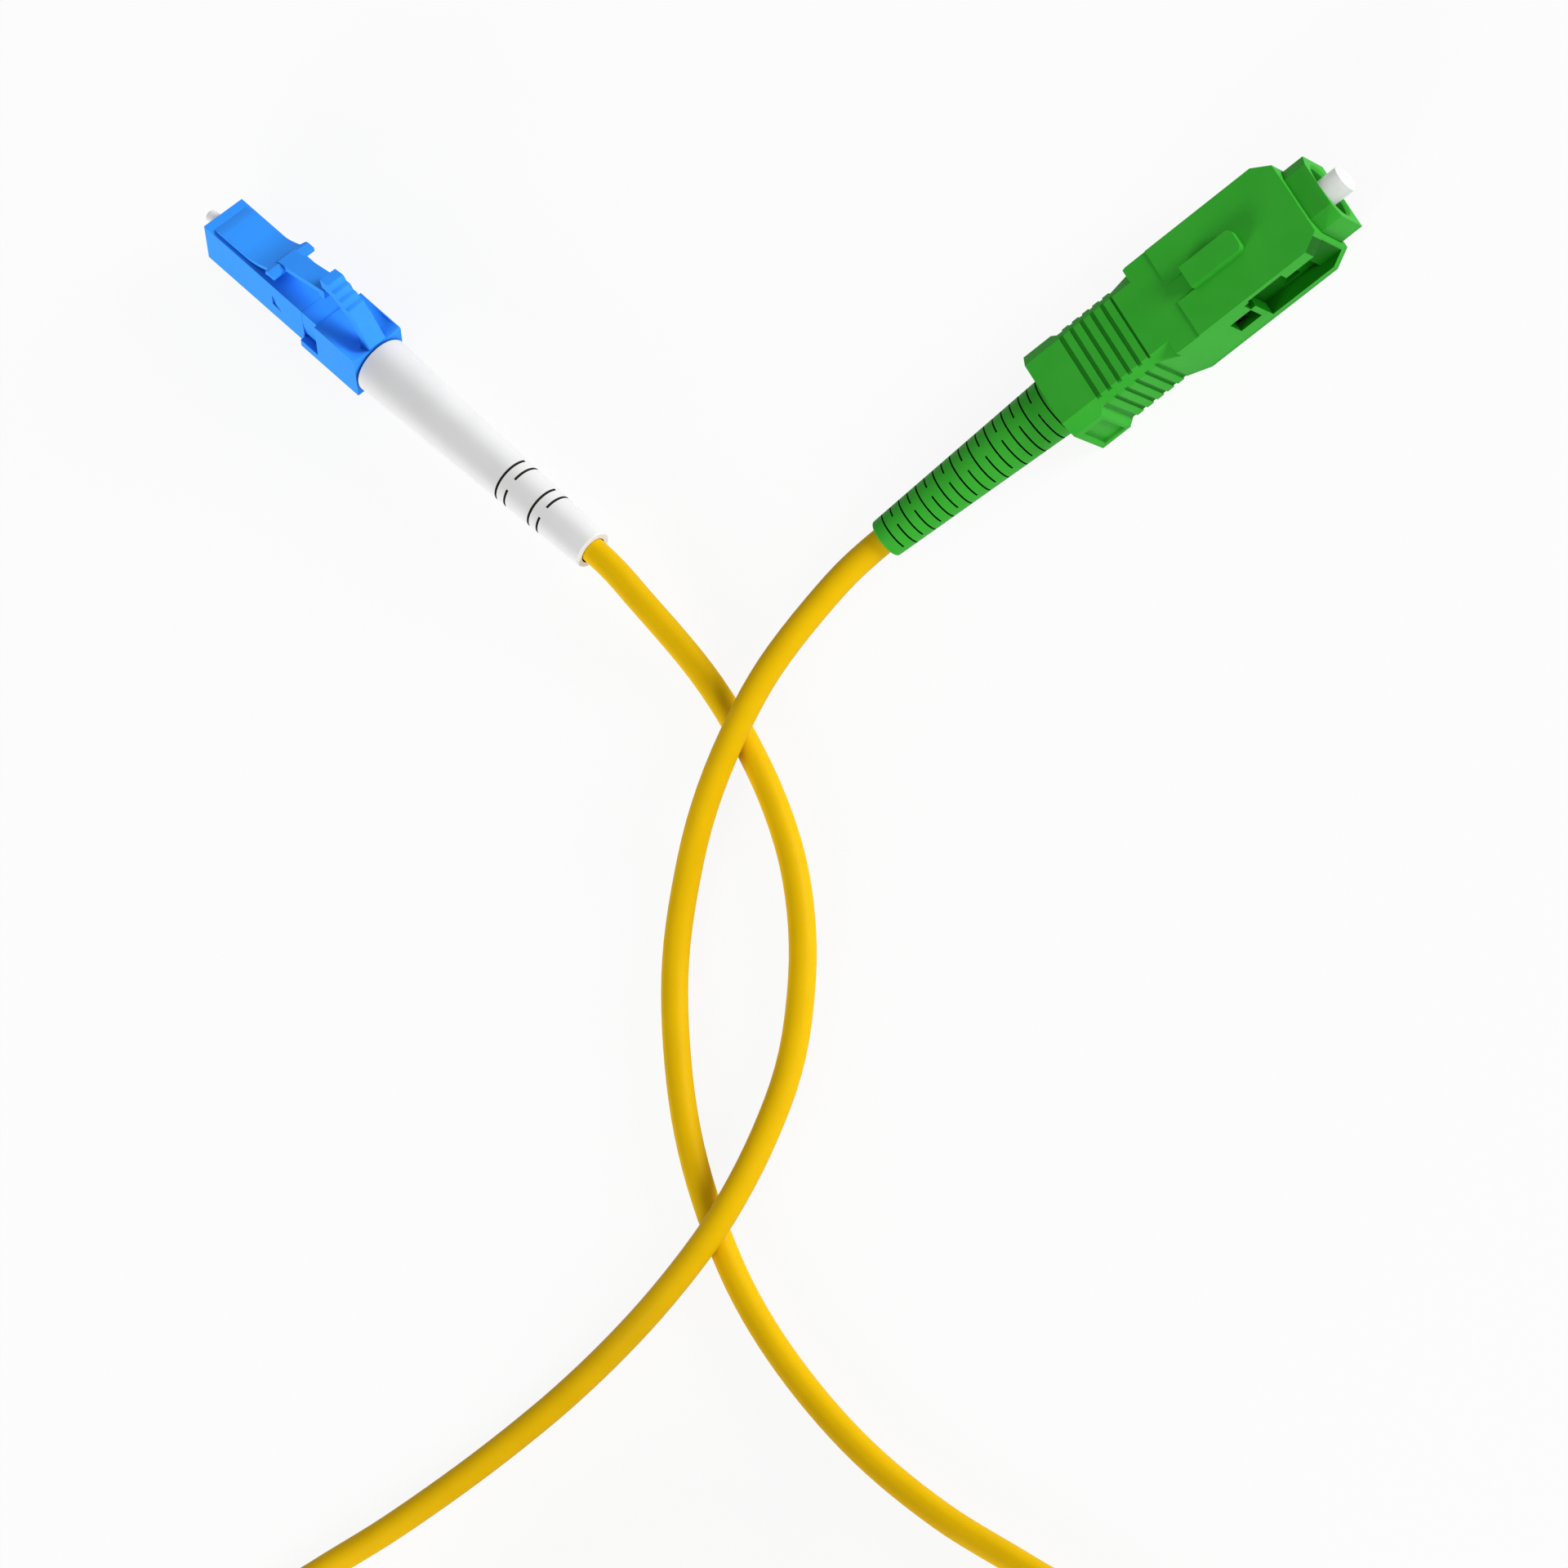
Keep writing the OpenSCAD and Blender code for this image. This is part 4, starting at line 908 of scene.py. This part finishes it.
def yarnPiece(name, facts, matrix, replaced):
    bm = bmesh.new()
    count = int(2 * math.pi * facts["middle"] / facts["spacing"])
    length = facts["end"] - facts["start"] - 0.1
    for k in range(count):
        strand = bmesh.ops.create_cone(bm, cap_ends=True, segments=6, radius1=facts["strand"] / 2,
                                       radius2=facts["strand"] / 2, depth=length)["verts"]
        bmesh.ops.rotate(bm, verts=strand, cent=(0, 0, 0), matrix=Matrix.Rotation(math.radians(90), 3, "Y"))
        lean = math.radians(facts["lean"] * (1 if k % 2 else 0.4))
        bmesh.ops.rotate(bm, verts=strand, cent=(0, 0, 0), matrix=Matrix.Rotation(lean, 3, "Z"))
        bmesh.ops.translate(bm, verts=strand, vec=((facts["start"] + facts["end"]) / 2, 0, facts["middle"]))
        turn = Matrix.Rotation(2 * math.pi * k / count, 3, "X")
        bmesh.ops.rotate(bm, verts=strand, cent=(0, 0, 0), matrix=turn)
    bmesh.ops.transform(bm, matrix=matrix, verts=bm.verts)
    return addPiece(name, meshFrom(bm, name, 70), "aramidYarn", "cord_assembly", replaced)


yarnPiece("lcYarn", yarnFacts["lc"], lcMatrix, ["lc_aramid_yarn"])
yarnPiece("scYarn", yarnFacts["sc"], scMatrix, ["sc_aramid_yarn"])
print("yarn laid")

# Springs: a wire wound into a coil with its end turns lying flat.

springFacts = {
    "lc": {"start": 4.0, "end": 11.57, "radius": 1.15, "wire": 0.3, "openTurns": 6, "seat": 11.6, "travel": 0.7},
    "sc": {"start": 4.95, "end": 13.97, "radius": 2.0, "wire": 0.45, "openTurns": 6, "seat": 14.0, "travel": 1.0},
}


def springPiece(name, facts, matrix, replaced):
    wire, steps = facts["wire"], 28
    bm = bmesh.new()
    ring = bmesh.ops.create_circle(bm, cap_ends=True, segments=10, radius=wire / 2)["verts"]
    bmesh.ops.rotate(bm, verts=ring, cent=(0, 0, 0), matrix=Matrix.Rotation(math.radians(90), 3, "X"))
    bmesh.ops.translate(bm, verts=ring, vec=(facts["start"] + wire / 2, 0, facts["radius"]))
    flatPitch = wire * 1.02
    openPitch = (facts["end"] - facts["start"] - wire - 2 * flatPitch) / facts["openTurns"]
    last = allOf(bm)
    for turns, pitch in ((1, flatPitch), (facts["openTurns"], openPitch), (1, flatPitch)):
        wound = bmesh.ops.spin(bm, geom=last, cent=(0, 0, 0), axis=(1, 0, 0), dvec=(pitch / steps, 0, 0),
                               angle=2 * math.pi * turns, steps=steps * turns, use_merge=False, use_duplicate=False)
        last = wound["geom_last"]
    bmesh.ops.recalc_face_normals(bm, faces=bm.faces)
    bmesh.ops.transform(bm, matrix=matrix, verts=bm.verts)
    reportShape(name, bm)
    piece = addPiece(name, meshFrom(bm, name, 60), "springSteel", "cord_assembly", replaced)
    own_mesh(piece)
    return piece


springPiece("lcSpring", springFacts["lc"], lcMatrix, ["lc_spring"])
springPiece("scSpring", springFacts["sc"], scMatrix, ["sc_spring"])
print("springs wound")

# CAD nodes that keep their shape take their materials here

cadFinishes = {
    "lc_ferrule_flange": "flangeMetal",
    "sc_ferrule_flange": "flangeMetal",
    "lc_buffered_fibre": "fibreBuffer",
    "sc_buffered_fibre": "fibreBuffer",
    "lc_crimp_body": "crimpMetal",
    "sc_crimp_body": "crimpMetal",
    "lc_crimp_ring": "crimpMetal",
    "sc_crimp_ring": "crimpMetal",
}
for node, finish in cadFinishes.items():
    slots = nodes[node].data.materials
    slots.clear()
    slots.append(materials[finish])
print("finishes set")

# Floor, world and lamps

studio = {
    "floorColour": (0.9, 0.9, 0.9),
    "shadowShare": 0.1,  # how much of the floor's own shading the camera sees over pure white
    "worldStrength": 0.48,
    "lamps": [
        {"name": "frontLeft", "place": (-0.5, -1.04, 0.33), "size": 0.5, "power": 11.5},
        {"name": "right", "place": (1.1, 0.4, 0.3), "size": 0.5, "power": 15.0},
    ],
}


def seenByEye(tree):
    # one for camera, mirror and glass rays
    path = tree.nodes.new("ShaderNodeLightPath")
    first = tree.nodes.new("ShaderNodeMath")
    first.operation = "MAXIMUM"
    second = tree.nodes.new("ShaderNodeMath")
    second.operation = "MAXIMUM"
    tree.links.new(path.outputs["Is Camera Ray"], first.inputs[0])
    tree.links.new(path.outputs["Is Glossy Ray"], first.inputs[1])
    tree.links.new(first.outputs[0], second.inputs[0])
    tree.links.new(path.outputs["Is Transmission Ray"], second.inputs[1])
    return second.outputs[0]


def makeFloor(settings):
    bm = bmesh.new()
    bmesh.ops.create_grid(bm, x_segments=1, y_segments=1, size=3.0)
    floor = addPiece("floor", meshFrom(bm, "floor"), None, None)
    material = bpy.data.materials.new("paleFloor")
    material.use_nodes = True
    tree = material.node_tree
    tree.nodes.clear()
    matt = tree.nodes.new("ShaderNodeBsdfDiffuse")
    matt.inputs["Color"].default_value = (*settings["floorColour"], 1)
    white = tree.nodes.new("ShaderNodeEmission")
    white.inputs["Strength"].default_value = 1.0
    share = tree.nodes.new("ShaderNodeMath")
    share.operation = "MULTIPLY"
    share.inputs[1].default_value = 1 - settings["shadowShare"]
    tree.links.new(seenByEye(tree), share.inputs[0])
    mix = tree.nodes.new("ShaderNodeMixShader")
    tree.links.new(share.outputs[0], mix.inputs[0])
    tree.links.new(matt.outputs[0], mix.inputs[1])
    tree.links.new(white.outputs[0], mix.inputs[2])
    out = tree.nodes.new("ShaderNodeOutputMaterial")
    tree.links.new(mix.outputs[0], out.inputs["Surface"])
    floor.data.materials.append(material)


def makeWorld(settings):
    world = bpy.data.worlds.new("studio")
    bpy.context.scene.world = world
    world.use_nodes = True
    tree = world.node_tree
    tree.nodes.clear()
    soft = tree.nodes.new("ShaderNodeBackground")
    soft.inputs["Strength"].default_value = settings["worldStrength"]
    white = tree.nodes.new("ShaderNodeBackground")
    white.inputs["Strength"].default_value = 1.0
    mix = tree.nodes.new("ShaderNodeMixShader")
    tree.links.new(seenByEye(tree), mix.inputs[0])
    tree.links.new(soft.outputs[0], mix.inputs[1])
    tree.links.new(white.outputs[0], mix.inputs[2])
    out = tree.nodes.new("ShaderNodeOutputWorld")
    tree.links.new(mix.outputs[0], out.inputs["Surface"])


def makeLamps(settings):
    for lamp in settings["lamps"]:
        data = bpy.data.lights.new(lamp["name"], "AREA")
        data.size = lamp["size"]
        data.energy = lamp["power"]
        holder = bpy.data.objects.new(lamp["name"], data)
        holder.location = lamp["place"]
        holder.rotation_euler = (-Vector(lamp["place"])).to_track_quat("-Z", "Y").to_euler()
        bpy.context.scene.collection.objects.link(holder)


makeFloor(studio)
makeWorld(studio)
makeLamps(studio)
bpy.context.scene.view_settings.view_transform = "Standard"
print("studio lit")
